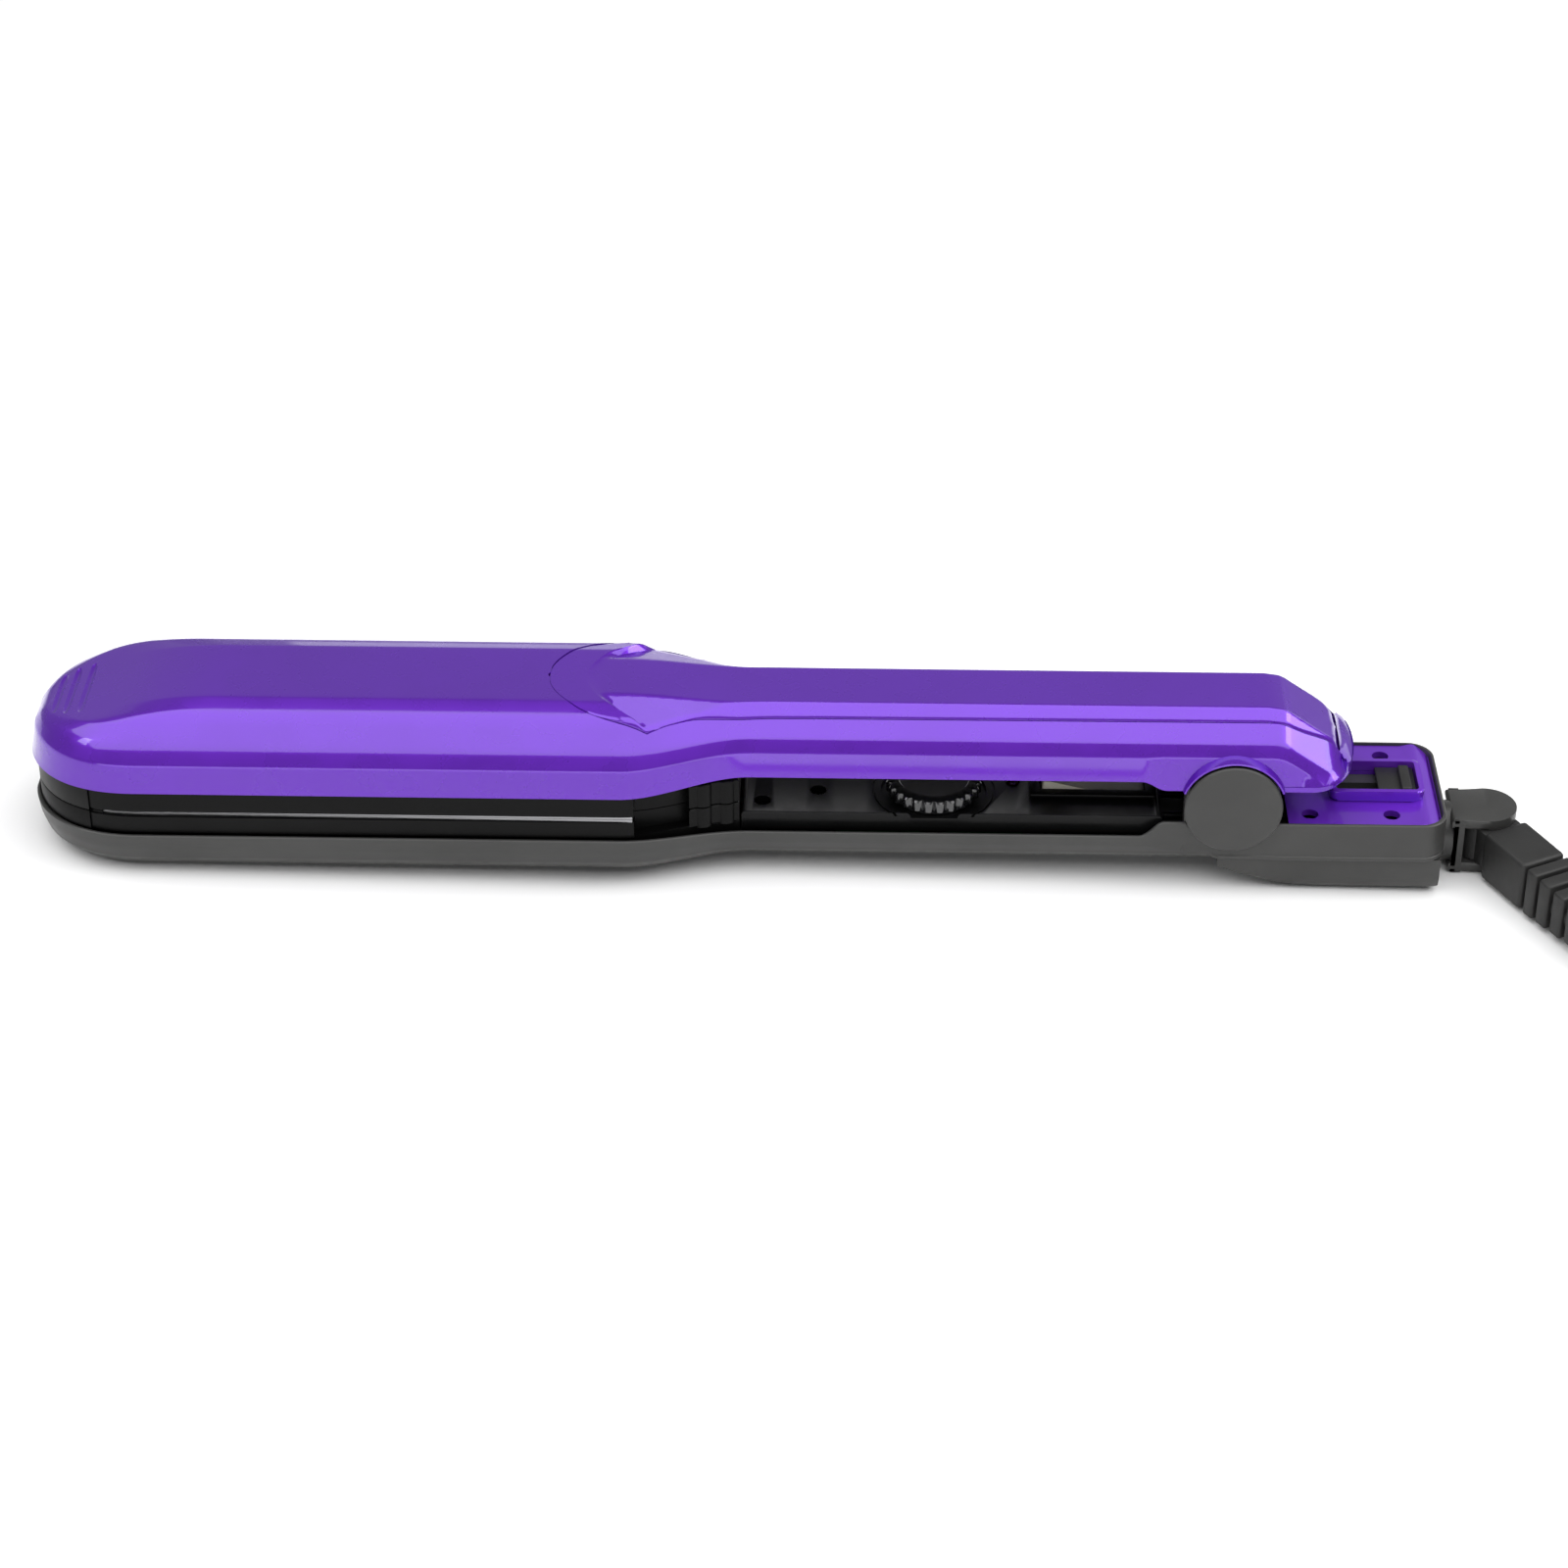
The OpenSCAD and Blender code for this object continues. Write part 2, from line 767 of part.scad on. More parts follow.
// A tube that follows a route's points, with flat ends
module tube(route, d, sides = 10) {
    last = len(route) - 1;
    function ahead(i) = let (v = route[min(last, i + 1)] - route[max(0, i - 1)]) v / norm(v);
    rings = [for (i = [0:last])
        let (t = ahead(i), s = [t.y, -t.x, 0] / norm([t.y, -t.x, 0]), u = cross(s, t))
            for (k = [0:sides - 1])
                route[i] + d / 2 * (cos(360 * k / sides) * s + sin(360 * k / sides) * u)];
    walls = [for (i = [0:last - 1], k = [0:sides - 1])
        [i * sides + k, i * sides + (k + 1) % sides,
         (i + 1) * sides + (k + 1) % sides, (i + 1) * sides + k]];
    ends = [
        [for (k = [sides - 1:-1:0]) k],
        [for (k = [0:sides - 1]) last * sides + k]
    ];
    polyhedron(rings, concat(walls, ends));
}

module cord() {
    color(black) tube(cord_route, cord_d);
}

// The wound-up length of the cord: two loops side by side, three layers high
module cord_hank() {
    color(black)
        difference() {
            linear_extrude(hank_h)
                union() {
                    translate([hank_c.x, hank_c.y - hank_r]) square([hank_run, 2 * hank_r]);
                    for (x = [0, hank_run])
                        translate([hank_c.x + x, hank_c.y]) circle(hank_r);
                }
            translate([tie_x, hank_c.y - 40, -1]) cube([tie_w, 80, 1 + tie_t]);
        }
}

module cord_tie() {
    color(black)
        translate([tie_x + 0.1, hank_c.y, 0])
            difference() {
                translate([0, -hank_r - tie_t, 0])
                    cube([tie_w - 0.2, 2 * (hank_r + tie_t), hank_h + tie_t]);
                translate([-1, -hank_r, tie_t])
                    cube([tie_w + 2, 2 * hank_r, hank_h - tie_t]);
            }
}

module cord_end() {
    color(black) tube(end_route, cord_d);
}

plug_len = 34;
plug_half = 17.6;
plug_t = 14;

module plug_body() {
    color(black)
        translate(plug_at)
            linear_extrude(plug_t)
                polygon([
                    [0, -5.5], [6, -6.5], [15, -12], [22, -plug_half + 1], [25, -plug_half],
                    [plug_len, -plug_half + 2], [plug_len, plug_half - 2], [25, plug_half],
                    [22, plug_half - 1], [15, 12], [6, 6.5], [0, 5.5]
                ]);
}

module plug_pins() {
    color(steel)
        for (y = [-9.3, 9.3])
            translate(plug_at + [plug_len, y, plug_t / 2])
                rotate([0, 90, 0])
                    rotate_extrude()
                        polygon([[0, 0], [2, 0], [2, 18], [1.2, 19], [0, 19]]);
}

upper_shell();
upper_inlay();
upper_inner_cover();
upper_cover_screws();
upper_plate_holder();
upper_plate();
upper_heater();
upper_heater_clamp();
upper_leads();
lower_shell();
lower_inner_panel();
lower_panel_screws();
lower_plate_holder();
lower_plate();
lower_heater();
lower_heater_clamp();
lower_leads();
control_board();
dial_pot();
dial_shaft();
dial_knob();
switch_body();
power_rocker();
indicator_lens();
power_leads();
tail_tray();
tail_tray_screws();
lock_track();
lock_slider();
rear_cover();
rear_cover_screws();
hinge_pin();
front_hinge_cap();
back_hinge_cap();
hinge_washers();
opening_spring();
swivel_bush();
swivel_neck();
knuckle_pin();
cord_guard();
cord();
cord_hank();
cord_tie();
cord_end();
plug_body();
plug_pins();
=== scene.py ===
# Hair crimper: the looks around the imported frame.
# Shapes are drawn in millimetres in the arms' own frame, in which the closed arms lie level, and
# LAID puts them where the frame has them. The free cord is drawn on the table, in the row frame.
import json
import math

import bmesh
import bpy
from mathutils import Matrix, Vector


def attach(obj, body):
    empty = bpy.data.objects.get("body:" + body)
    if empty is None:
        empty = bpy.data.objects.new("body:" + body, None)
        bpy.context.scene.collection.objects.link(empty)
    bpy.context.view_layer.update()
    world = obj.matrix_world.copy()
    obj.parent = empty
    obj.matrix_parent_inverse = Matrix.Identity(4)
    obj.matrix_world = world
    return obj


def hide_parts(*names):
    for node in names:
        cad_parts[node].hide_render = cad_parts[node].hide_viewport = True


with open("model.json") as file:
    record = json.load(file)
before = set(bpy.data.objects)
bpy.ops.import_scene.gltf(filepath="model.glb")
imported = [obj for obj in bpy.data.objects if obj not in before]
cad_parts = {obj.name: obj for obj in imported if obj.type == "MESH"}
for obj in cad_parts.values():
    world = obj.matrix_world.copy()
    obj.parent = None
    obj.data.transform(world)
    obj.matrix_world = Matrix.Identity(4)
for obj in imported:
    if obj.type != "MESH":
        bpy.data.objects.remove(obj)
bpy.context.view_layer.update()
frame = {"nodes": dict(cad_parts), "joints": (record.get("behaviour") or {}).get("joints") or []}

# ---- Frames ----

MM = 0.001
JOINTS = {j["name"]: j for j in frame["joints"]}
HINGE = Vector((91.4, 0, 21.3))
NECK_Z = 6.1
KNUCKLE = Vector((144.6, 0, NECK_Z))
ARM_AXES = Matrix((JOINTS["lock_slide"]["axis"], (0, 1, 0), JOINTS["dial_turn"]["axis"])).transposed()
ARM_ORIGIN = Vector(JOINTS["arm_hinge"]["pos_m"]) / MM - ARM_AXES @ HINGE
TABLE = Matrix.Scale(MM, 4)
LAID = TABLE @ Matrix.Translation(ARM_ORIGIN) @ ARM_AXES.to_4x4()

# ---- Sizes of the arms, in millimetres ----

HEAD_HALF = 22.5
GRIP_HALF = 15.5
REAR_HALF = 15.8
NOSE_X = -151
NOSE_TIP = -150.72
NOSE_LEN = 24
NOSE_POWER = 2 / 2.2
WAIST = (-31, -5)
STEP = (73, 78)
FLOOR_STEP = (87.4, 89)
REAR_WIDENS = (96, 102)
TAIL_R = 5
SEAM_Z = 19.9
REAR_X = 134.8
PLATE_X = (-134.1, -28.3)
PLATE_HALF = 21
RIDGES = 16
PANEL_X = (-6.8, 77.6)
PANEL_TOP = 16.8
DIAL_AT = (31.9, -3.4)
DIAL_SEAT = 15.9
LENS_X = 48
CORD_D = 6.5
COVER_SCREWS = ((10, 0), (62, 0))
COVER_SEAT = 28.3
REAR_SCREWS = ((104, 9), (104, -9))
REAR_SEAT = 4.2
PANEL_SCREWS = ((-2.7, -8), (8.5, -4))
PANEL_SEAT = 14.6
TRAY_SCREWS = ((107.4, 11), (107.4, -11), (123.8, 11), (123.8, -11))
TRAY_SEAT = 14.4

# The bends of the upper shell's outside, from its bottom edge up: the inset at the head and at the
# handle, the height at the head and at the handle, and where the bend ends at the tail.
UPPER_BENDS = [
    (0, 0, 25.6, 26.8, 115.9), (0.25, 0.3, 26.6, 27.9, 116.3), (1.1, 1.4, 31.4, 31.7, 116.1),
    (2.9, 3, 34.2, 34.4, 115.3), (7.6, 7.3, 39.7, 37.8, 113.9), (12.5, 8.8, 40.8, 39.1, 112.2),
    (14, 10.2, 40.8, 39.1, 111),
]
PLATEAU = UPPER_BENDS[-1][2:4]
# The tail of the upper arm is rounded in plan from TAIL_ARC on, and its top falls away from TAIL_FALL
# on, down to its foot.
TAIL_ARC = 107
TAIL_CUTS = 22
TAIL_FALL = 100.8
TAIL_SLOPE = 0.69
TAIL_FOOT = 25.3
FOOT_END = 116.3
FOOT_INSET = 0.3
# Radius of the round openings in the upper shell for the hinge caps.
ARCH_BORE = 10.14


def mix(a, b, t):
    return a + (b - a) * t


def share(x, span):
    """How far x is through a span, from 0 to 1, with soft ends."""
    t = min(1, max(0, (x - span[0]) / (span[1] - span[0])))
    return t * t * (3 - 2 * t)


def smooth_min(a, b, reach):
    """The lesser of two values, with a soft corner where they are within reach of each other."""
    h = max(reach - abs(a - b), 0) / reach
    return min(a, b) - h * h * reach / 4


def steps(a, b, size):
    """Numbers from a up to, but without, b, about size apart."""
    n = max(1, round((b - a) / size))
    return [a + (b - a) * i / n for i in range(n)]


# ---- Outlines of the arms ----

SIDE_X = (steps(-127, -106, 1) + steps(-106, -46, 4) + steps(-46, 0, 1.2) + steps(0, 72, 6)
          + steps(72, 79, 0.5) + steps(79, 87, 2) + steps(87, 90, 0.4) + [90])
LOWER_SIDE_X = SIDE_X + steps(91, 96, 2.5) + steps(96, 102, 1)


def half_width(x, rear):
    return mix(mix(HEAD_HALF, GRIP_HALF, share(x, WAIST)), rear, share(x, REAR_WIDENS))


def nose_points(inset, end=90, count=40):
    """The rounded nose of an outline, from its tip round to the side."""
    reach, half = NOSE_LEN - inset, HEAD_HALF - inset
    points = []
    for i in range(count + 1):
        a = math.radians(mix(1.5, end, i / count))
        x = NOSE_X + NOSE_LEN - reach * math.cos(a) ** NOSE_POWER
        points.append((max(x, NOSE_TIP + inset), half * math.sin(a) ** NOSE_POWER))
    return points


def lower_outline(head, grip, tail):
    """One side of the lower arm seen from above, inset by head and by grip, from the nose to the tail."""
    points = nose_points(head)[:-1]
    for x in LOWER_SIDE_X:
        points.append((x, half_width(x, REAR_HALF) - mix(head, grip, share(x, WAIST))))
    start, corner = LOWER_SIDE_X[-1], tail - TAIL_R
    for i in range(1, 6):
        x = mix(start, corner, i / 6)
        points.append((x, half_width(x, REAR_HALF) - grip))
    for i in range(10):
        a = math.radians(10 * i)
        points.append((corner + TAIL_R * math.sin(a), REAR_HALF - grip - TAIL_R + TAIL_R * math.cos(a)))
    return points


def outline_to(inset, end):
    """One side of an arm's outline with the same inset, from the nose to x = end."""
    if end < NOSE_X + NOSE_LEN:
        c = (NOSE_X + NOSE_LEN - end) / (NOSE_LEN - inset)
        return nose_points(inset, math.degrees(math.acos(c ** (1 / NOSE_POWER))), 30)
    points = nose_points(inset)[:-1]
    for x in [x for x in SIDE_X if x < end - 0.1] + [end]:
        points.append((x, half_width(x, GRIP_HALF) - inset))
    return points


def both_sides(half, z):
    """A closed ring of points from one side's outline. z is a height or a function of x."""
    height = z if callable(z) else lambda x: z
    ring = [Vector((x, y, height(x))) for x, y in half]
    return ring + [Vector((p.x, -p.y, p.z)) for p in reversed(ring)]


def rounded(bends, shares, cuts=5):
    """A chain of tuples whose inner bends are rounded, each over a share of the stretches beside it."""
    chain = [tuple(bends[0])]
    for before, bend, after, s in zip(bends, bends[1:], bends[2:], shares):
        for i in range(cuts + 1):
            t = i / cuts
            a = [mix(mix(b, p, s), b, t) for p, b in zip(before, bend)]
            c = [mix(b, mix(b, q, s), t) for b, q in zip(bend, after)]
            chain.append(tuple(mix(u, v, t) for u, v in zip(a, c)))
    return chain + [tuple(bends[-1])]


# ---- Meshes: a part is (points, faces) ----

def joined(*parts):
    points, faces = [], []
    for p, f in parts:
        faces += [[i + len(points) for i in face] for face in f]
        points += p
    return points, faces


def moved(part, matrix):
    return [matrix @ Vector(p) for p in part[0]], part[1]


def tube_of_rings(rings, base="strip", lid="strip"):
    """A closed skin over rings of one length. The ends are strips across, one face, or open."""
    n, faces = len(rings[0]), []
    for k in range(len(rings) - 1):
        for i in range(n):
            j = (i + 1) % n
            faces.append([k * n + i, k * n + j, (k + 1) * n + j, (k + 1) * n + i])
    for kind, start, flip in ((base, 0, True), (lid, (len(rings) - 1) * n, False)):
        if kind == "strip":
            ends = [[i, i + 1, n - 2 - i, n - 1 - i] for i in range(n // 2 - 1)]
        else:
            ends = [list(range(n))] if kind == "face" else []
        for f in ends:
            f = [start + i for i in f]
            faces.append(list(reversed(f)) if flip else f)
    return [p for r in rings for p in r], faces


def block(lo, hi, bevel=0.3, cuts=2):
    """A box with rounded edges."""
    bm = bmesh.new()
    bmesh.ops.create_cube(bm, size=1)
    for v in bm.verts:
        v.co = Vector([mix(a, b, c + 0.5) for a, b, c in zip(lo, hi, v.co)])
    if bevel:
        bmesh.ops.bevel(bm, geom=bm.edges[:], offset=bevel, segments=cuts, profile=0.5, affect="EDGES")
    part = [v.co.copy() for v in bm.verts], [[v.index for v in f.verts] for f in bm.faces]
    bm.free()
    return part


AXIS_TURN = {"x": Matrix.Rotation(math.pi / 2, 4, "Y"), "y": Matrix.Rotation(-math.pi / 2, 4, "X"),
             "z": Matrix.Identity(4)}


def circle(r, h, sides):
    return [Vector((r * math.cos(math.tau * i / sides), r * math.sin(math.tau * i / sides), h))
            for i in range(sides)]


def turned(profile, at, axis="z", sides=64):
    """A profile of (radius, height) turned about an axis through at."""
    skin = tube_of_rings([circle(r, h, sides) for r, h in profile], "face", "face")
    return moved(skin, Matrix.Translation(Vector(at)) @ AXIS_TURN[axis])


def ring_of(profile, at, axis="z", sides=64):
    """A closed profile of (radius, height) turned about an axis that it doesn't touch."""
    skin = tube_of_rings([circle(r, h, sides) for r, h in [*profile, profile[0]]], None, None)
    return moved(skin, Matrix.Translation(Vector(at)) @ AXIS_TURN[axis])


def disc(r, h0, h1, bevel=0.2):
    """The profile of a cylinder with bevelled rims, for turned."""
    return [(r - bevel, h0), (r, h0 + bevel), (r, h1 - bevel), (r - bevel, h1)]


def swept(path, radius, sides=16):
    """A round tube along a path of points, with flat ends."""
    rings, up = [], Vector((0, 0, 1))
    for i, p in enumerate(path):
        ahead = (path[min(i + 1, len(path) - 1)] - path[max(i - 1, 0)]).normalized()
        side = ahead.cross(up).normalized()
        top = side.cross(ahead)
        r = radius[i] if isinstance(radius, list) else radius
        rings.append([p + r * (math.cos(math.tau * k / sides) * side + math.sin(math.tau * k / sides) * top)
                      for k in range(sides)])
    return tube_of_rings(rings, "face", "face")


def slab(levels, end):
    """A slab of the head's outline from the nose to x = end. levels are (inset, height), lowest first."""
    return tube_of_rings([both_sides(outline_to(inset, end), z) for inset, z in levels])


def deck(levels, x0, x1, half=None):
    """A slab of the handle between x0 and x1. levels are (inset, height, how far its ends are pulled in)."""
    rings = []
    for inset, z, pull in levels:
        xs = [x0 + pull] + [x for x in LOWER_SIDE_X if x0 + 1 < x < x1 - 1] + [x1 - pull]
        rings.append(both_sides([(x, (half or half_width(x, REAR_HALF)) - inset) for x in xs], z))
    return tube_of_rings(rings)


def rail(profile, end):
    """A band that follows the head's outline round the nose, to x = end on both sides."""
    rings = []
    for inset, z in profile:
        half = outline_to(inset, end)
        rings.append([Vector((x, -y, z)) for x, y in reversed(half)] + [Vector((x, y, z)) for x, y in half])
    n, m, faces = len(rings[0]), len(rings), []
    for k in range(m):
        for i in range(n - 1):
            a, b = k * n + i, (k + 1) % m * n + i
            faces.append([a, a + 1, b + 1, b])
    faces.append([k * n for k in range(m)])
    faces.append([k * n + n - 1 for k in reversed(range(m))])
    return [p for r in rings for p in r], faces


def plate_of(polygon, z0, z1, bevel=0.3, cuts=2):
    """A polygon extruded from z0 to z1 with rounded edges."""
    bm = bmesh.new()
    low = [bm.verts.new((x, y, z0)) for x, y in polygon]
    high = [bm.verts.new((x, y, z1)) for x, y in polygon]
    bm.faces.new(list(reversed(low)))
    bm.faces.new(high)
    for i in range(len(low)):
        j = (i + 1) % len(low)
        bm.faces.new([low[i], low[j], high[j], high[i]])
    if bevel:
        rims = [e for e in bm.edges if abs(e.verts[0].co.z - e.verts[1].co.z) < 1e-6]
        bmesh.ops.bevel(bm, geom=rims, offset=bevel, segments=cuts, profile=0.5, affect="EDGES")
    bm.verts.index_update()
    part = [v.co.copy() for v in bm.verts], [[v.index for v in f.verts] for f in bm.faces]
    bm.free()
    return part


def round_rect(x0, x1, y0, y1, r, cuts=6):
    """The corners of a rounded rectangle, anticlockwise."""
    points = []
    left, right, front, back = x0 + r, x1 - r, y0 + r, y1 - r
    for cx, cy, a0 in ((right, front, -90), (right, back, 0), (left, back, 90), (left, front, 180)):
        for i in range(cuts + 1):
            a = math.radians(a0 + 90 * i / cuts)
            points.append((cx + r * math.cos(a), cy + r * math.sin(a)))
    return points


# ---- Materials ----

def srgb(r, g, b):
    """A colour from its 0 to 255 screen values."""
    return tuple(((c / 255 + 0.055) / 1.055) ** 2.4 if c > 10 else c / 255 / 12.92 for c in (r, g, b)) + (1,)


class Look:
    """A Principled material with small helpers that wire its nodes."""

    def __init__(self, name):
        self.material = bpy.data.materials.new(name)
        self.material.use_nodes = True
        self.nodes = self.material.node_tree.nodes
        self.link = self.material.node_tree.links.new
        self.surface = self.nodes["Principled BSDF"]
        self.place = self.nodes.new("ShaderNodeTexCoord").outputs["Object"]

    def set(self, **values):
        for name, value in values.items():
            self.surface.inputs[name.replace("_", " ")].default_value = value

    def noise(self, size, detail=3, roughness=0.5, stretch=None):
        """Noise whose features are size millimetres across, stretched along the axes if asked."""
        place = self.place
        if stretch:
            mapping = self.nodes.new("ShaderNodeMapping")
            mapping.inputs["Scale"].default_value = [1 / s for s in stretch]
            self.link(place, mapping.inputs["Vector"])
            place = mapping.outputs["Vector"]
        node = self.nodes.new("ShaderNodeTexNoise")
        node.inputs["Scale"].default_value = 1 / (size * MM)
        node.inputs["Detail"].default_value = detail
        node.inputs["Roughness"].default_value = roughness
        self.link(place, node.inputs["Vector"])
        return node.outputs["Fac"]

    def ramp(self, source, low, high, out_low, out_high):
        """source from low to high, mapped to out_low to out_high."""
        node = self.nodes.new("ShaderNodeMapRange")
        for name, value in (("From Min", low), ("From Max", high), ("To Min", out_low), ("To Max", out_high)):
            node.inputs[name].default_value = value
        self.link(source, node.inputs["Value"])
        return node.outputs["Result"]

    def blend(self, factor, a, b):
        node = self.nodes.new("ShaderNodeMix")
        node.data_type = "RGBA"
        node.inputs[6].default_value = a
        node.inputs[7].default_value = b
        self.link(factor, node.inputs[0])
        return node.outputs[2]

    def wire(self, source, name):
        self.link(source, self.surface.inputs[name])

    def bump(self, height, depth, strength=1.0):
        """Bump of a height from 0 to 1 that is depth millimetres deep."""
        node = self.nodes.new("ShaderNodeBump")
        node.inputs["Strength"].default_value = strength
        node.inputs["Distance"].default_value = depth * MM
        self.link(height, node.inputs["Height"])
        self.wire(node.outputs["Normal"], "Normal")


# The makers below take their colours as 0 to 255 screen values.

def gloss(name, colour, deep, rough=0.28):
    """Glossy moulded plastic: pigment that drifts a little, faint waviness and handling marks."""
    look = Look(name)
    drift = look.ramp(look.noise(35, 2), 0.35, 0.65, 0, 1)
    look.wire(look.blend(drift, srgb(*colour), srgb(*deep)), "Base Color")
    look.wire(look.ramp(look.noise(9, 4), 0.3, 0.75, rough - 0.05, rough + 0.07), "Roughness")
    look.set(Coat_Weight=1.0, Specular_IOR_Level=0.1, Metallic=0.5)
    look.wire(look.ramp(look.noise(9, 2, 0.5), 0.2, 0.8, 0.04, 0.07), "Coat Roughness")
    look.bump(look.noise(20, 1), 0.02, 0.15)
    return look.material


def satin(name, colour, worn, rough=0.42, grain=0.35, depth=0.02, coat=0.0, shine=0.5):
    """Satin moulded plastic with a fine spark-eroded grain."""
    look = Look(name)
    wear = look.ramp(look.noise(22, 4), 0.35, 0.7, 0, 1)
    look.wire(look.blend(wear, srgb(*colour), srgb(*worn)), "Base Color")
    look.wire(look.ramp(look.noise(6, 5), 0.3, 0.75, rough - 0.06, rough + 0.08), "Roughness")
    look.set(Coat_Weight=coat, Coat_Roughness=0.2, Specular_IOR_Level=shine)
    look.bump(look.noise(grain, 2, 0.6), depth, 0.7)
    return look.material


def metal(name, colour, rough, stretch, grain=0.5, depth=0.006):
    """Metal with brush marks along one axis."""
    look = Look(name)
    look.set(Base_Color=srgb(*colour), Metallic=1.0)
    marks = look.noise(grain, 3, 0.6, stretch)
    look.wire(look.ramp(marks, 0.3, 0.7, rough - 0.08, rough + 0.1), "Roughness")
    look.bump(marks, depth, 0.5)
    return look.material


def clear(name, colour, rough=0.06):
    """Tinted clear plastic."""
    look = Look(name)
    look.set(Base_Color=srgb(*colour), Transmission_Weight=0.9, IOR=1.49)
    look.wire(look.ramp(look.noise(2, 3), 0.3, 0.7, rough, rough + 0.08), "Roughness")
    look.bump(look.noise(3, 2), 0.02, 0.2)
    return look.material


PURPLE = gloss("purple_gloss", (90, 29, 168), (88, 28, 164))
PURPLE_INLAY = gloss("purple_inlay_gloss", (92, 30, 172), (90, 29, 168))
PURPLE_TRAY = gloss("purple_tray_satin", (108, 44, 190), (102, 40, 182), 0.36)
CHARCOAL = satin("charcoal_satin", (49, 49, 48), (57, 57, 56), 0.36, shine=0.4)
BLACK = satin("black_satin", (9, 9, 10), (14, 14, 14), 0.34, shine=0.16)
BLACK_RAIL = satin("black_heatproof", (5, 5, 5), (9, 9, 9), 0.36, 0.25, shine=0.12)
DIAL_BLACK = satin("dial_black", (14, 14, 16), (22, 22, 24), 0.14, 0.25, 0.01, coat=1.0)
GUARD = satin("guard_elastomer", (28, 28, 28), (36, 36, 35), 0.5, 0.5, 0.03, shine=0.35)
SHEATH = satin("cord_sheath", (26, 26, 27), (36, 36, 37), 0.45, 0.8, 0.02)
STRAP = satin("tie_strap", (30, 30, 31), (40, 40, 41), 0.65, 0.3, 0.05)
PLUG = satin("plug_moulding", (28, 28, 29), (36, 36, 37), 0.42, 0.3, 0.02)
ROCKER = satin("rocker_warm_grey", (176, 172, 156), (186, 182, 166), 0.4, 0.3, 0.01)
BUSH = satin("white_acetal", (205, 205, 200), (190, 190, 186), 0.35)
CERAMIC = satin("heater_ceramic", (225, 222, 212), (205, 200, 190), 0.6, 0.2)
SILICONE = satin("red_silicone", (170, 30, 25), (150, 24, 20), 0.45)
BOARD = satin("board_green", (20, 95, 50), (16, 80, 42), 0.35)
ALUMINIUM = metal("plate_aluminium", (150, 150, 152), 0.36, (12, 1, 1))
STEEL = metal("bright_steel", (190, 190, 194), 0.25, (1, 6, 1), 0.3)
DARK_STEEL = metal("blackened_steel", (52, 52, 55), 0.4, (1, 1, 1), 0.3)
PIN_METAL = metal("nickel_pins", (205, 196, 176), 0.2, (6, 1, 1), 0.3)
LENS = clear("red_lens", (84, 12, 10))


# ---- Objects ----

def solid(name, part, material, place=LAID, sharp=32):
    """A Blender object from a part, welded, smooth-shaded and sharp where it bends."""
    mesh = bpy.data.meshes.new(name)
    mesh.from_pydata([place @ Vector(p) for p in part[0]], [], part[1])
    bm = bmesh.new()
    bm.from_mesh(mesh)
    bmesh.ops.remove_doubles(bm, verts=bm.verts, dist=1e-7)
    bmesh.ops.dissolve_degenerate(bm, edges=bm.edges, dist=1e-8)
    bmesh.ops.recalc_face_normals(bm, faces=bm.faces)
    bm.to_mesh(mesh)
    bm.free()
    thing = bpy.data.objects.new(name, mesh)
    bpy.context.scene.collection.objects.link(thing)
    mesh.materials.append(material)
    shade(mesh, sharp)
    return thing


def shade(mesh, sharp=32):
    mesh.shade_smooth()
    mesh.set_sharp_from_angle(angle=math.radians(sharp))


def cut(thing, part, how="DIFFERENCE", place=LAID, sharp=32):
    """Cuts a part away from an object, or adds it."""
    tool = solid("tool", part, thing.data.materials[0], place)
    modifier = thing.modifiers.new("cut", "BOOLEAN")
    modifier.operation = how
    modifier.solver = "EXACT"
    modifier.object = tool
    depsgraph = bpy.context.evaluated_depsgraph_get()
    mesh = bpy.data.meshes.new_from_object(thing.evaluated_get(depsgraph))
    thing.modifiers.clear()
    old = thing.data
    mesh.name = old.name
    thing.data = mesh
    bpy.data.meshes.remove(old)
    bpy.data.objects.remove(tool)
    shade(mesh, sharp)
    return thing


def add_to(thing, part, place=LAID, sharp=32):
    """Adds a part's own closed skin to an object's mesh."""
    other = solid("added", part, thing.data.materials[0], place)
    work = bmesh.new()
    work.from_mesh(thing.data)
    work.from_mesh(other.data)
    work.to_mesh(thing.data)
    work.free()
    bpy.data.objects.remove(other)
    shade(thing.data, sharp)


def stand_in(thing, body, slot, *nodes):
    """The object rides on a body and is shown in place of the named CAD nodes."""
    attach(thing, body)
    if nodes:
        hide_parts(*nodes)
    return thing


# ---- Camera ----

VIEW_AZIMUTH, VIEW_ELEVATION = math.radians(1.3), math.radians(33)
VIEW_TARGET = Vector((1.45, 0, 15.24))
VIEW_DISTANCE = 780
back = Vector((math.sin(VIEW_AZIMUTH) * math.cos(VIEW_ELEVATION),
               -math.cos(VIEW_AZIMUTH) * math.cos(VIEW_ELEVATION), math.sin(VIEW_ELEVATION)))
right = Vector((math.cos(VIEW_AZIMUTH), math.sin(VIEW_AZIMUTH), 0))
camera_data = bpy.data.cameras.new("camera")
camera_data.sensor_width = 36
camera_data.lens = 87.75
camera_data.clip_start = 0.05
camera_data.clip_end = 20
camera = bpy.data.objects.new("camera", camera_data)
camera.matrix_world = Matrix.Translation(LAID @ (VIEW_TARGET + VIEW_DISTANCE * back)) @ (
    ARM_AXES @ Matrix((right, back.cross(right), back)).transposed()).to_4x4()
bpy.context.scene.collection.objects.link(camera)
bpy.context.scene.camera = camera

# ---- The cord, on the table ----

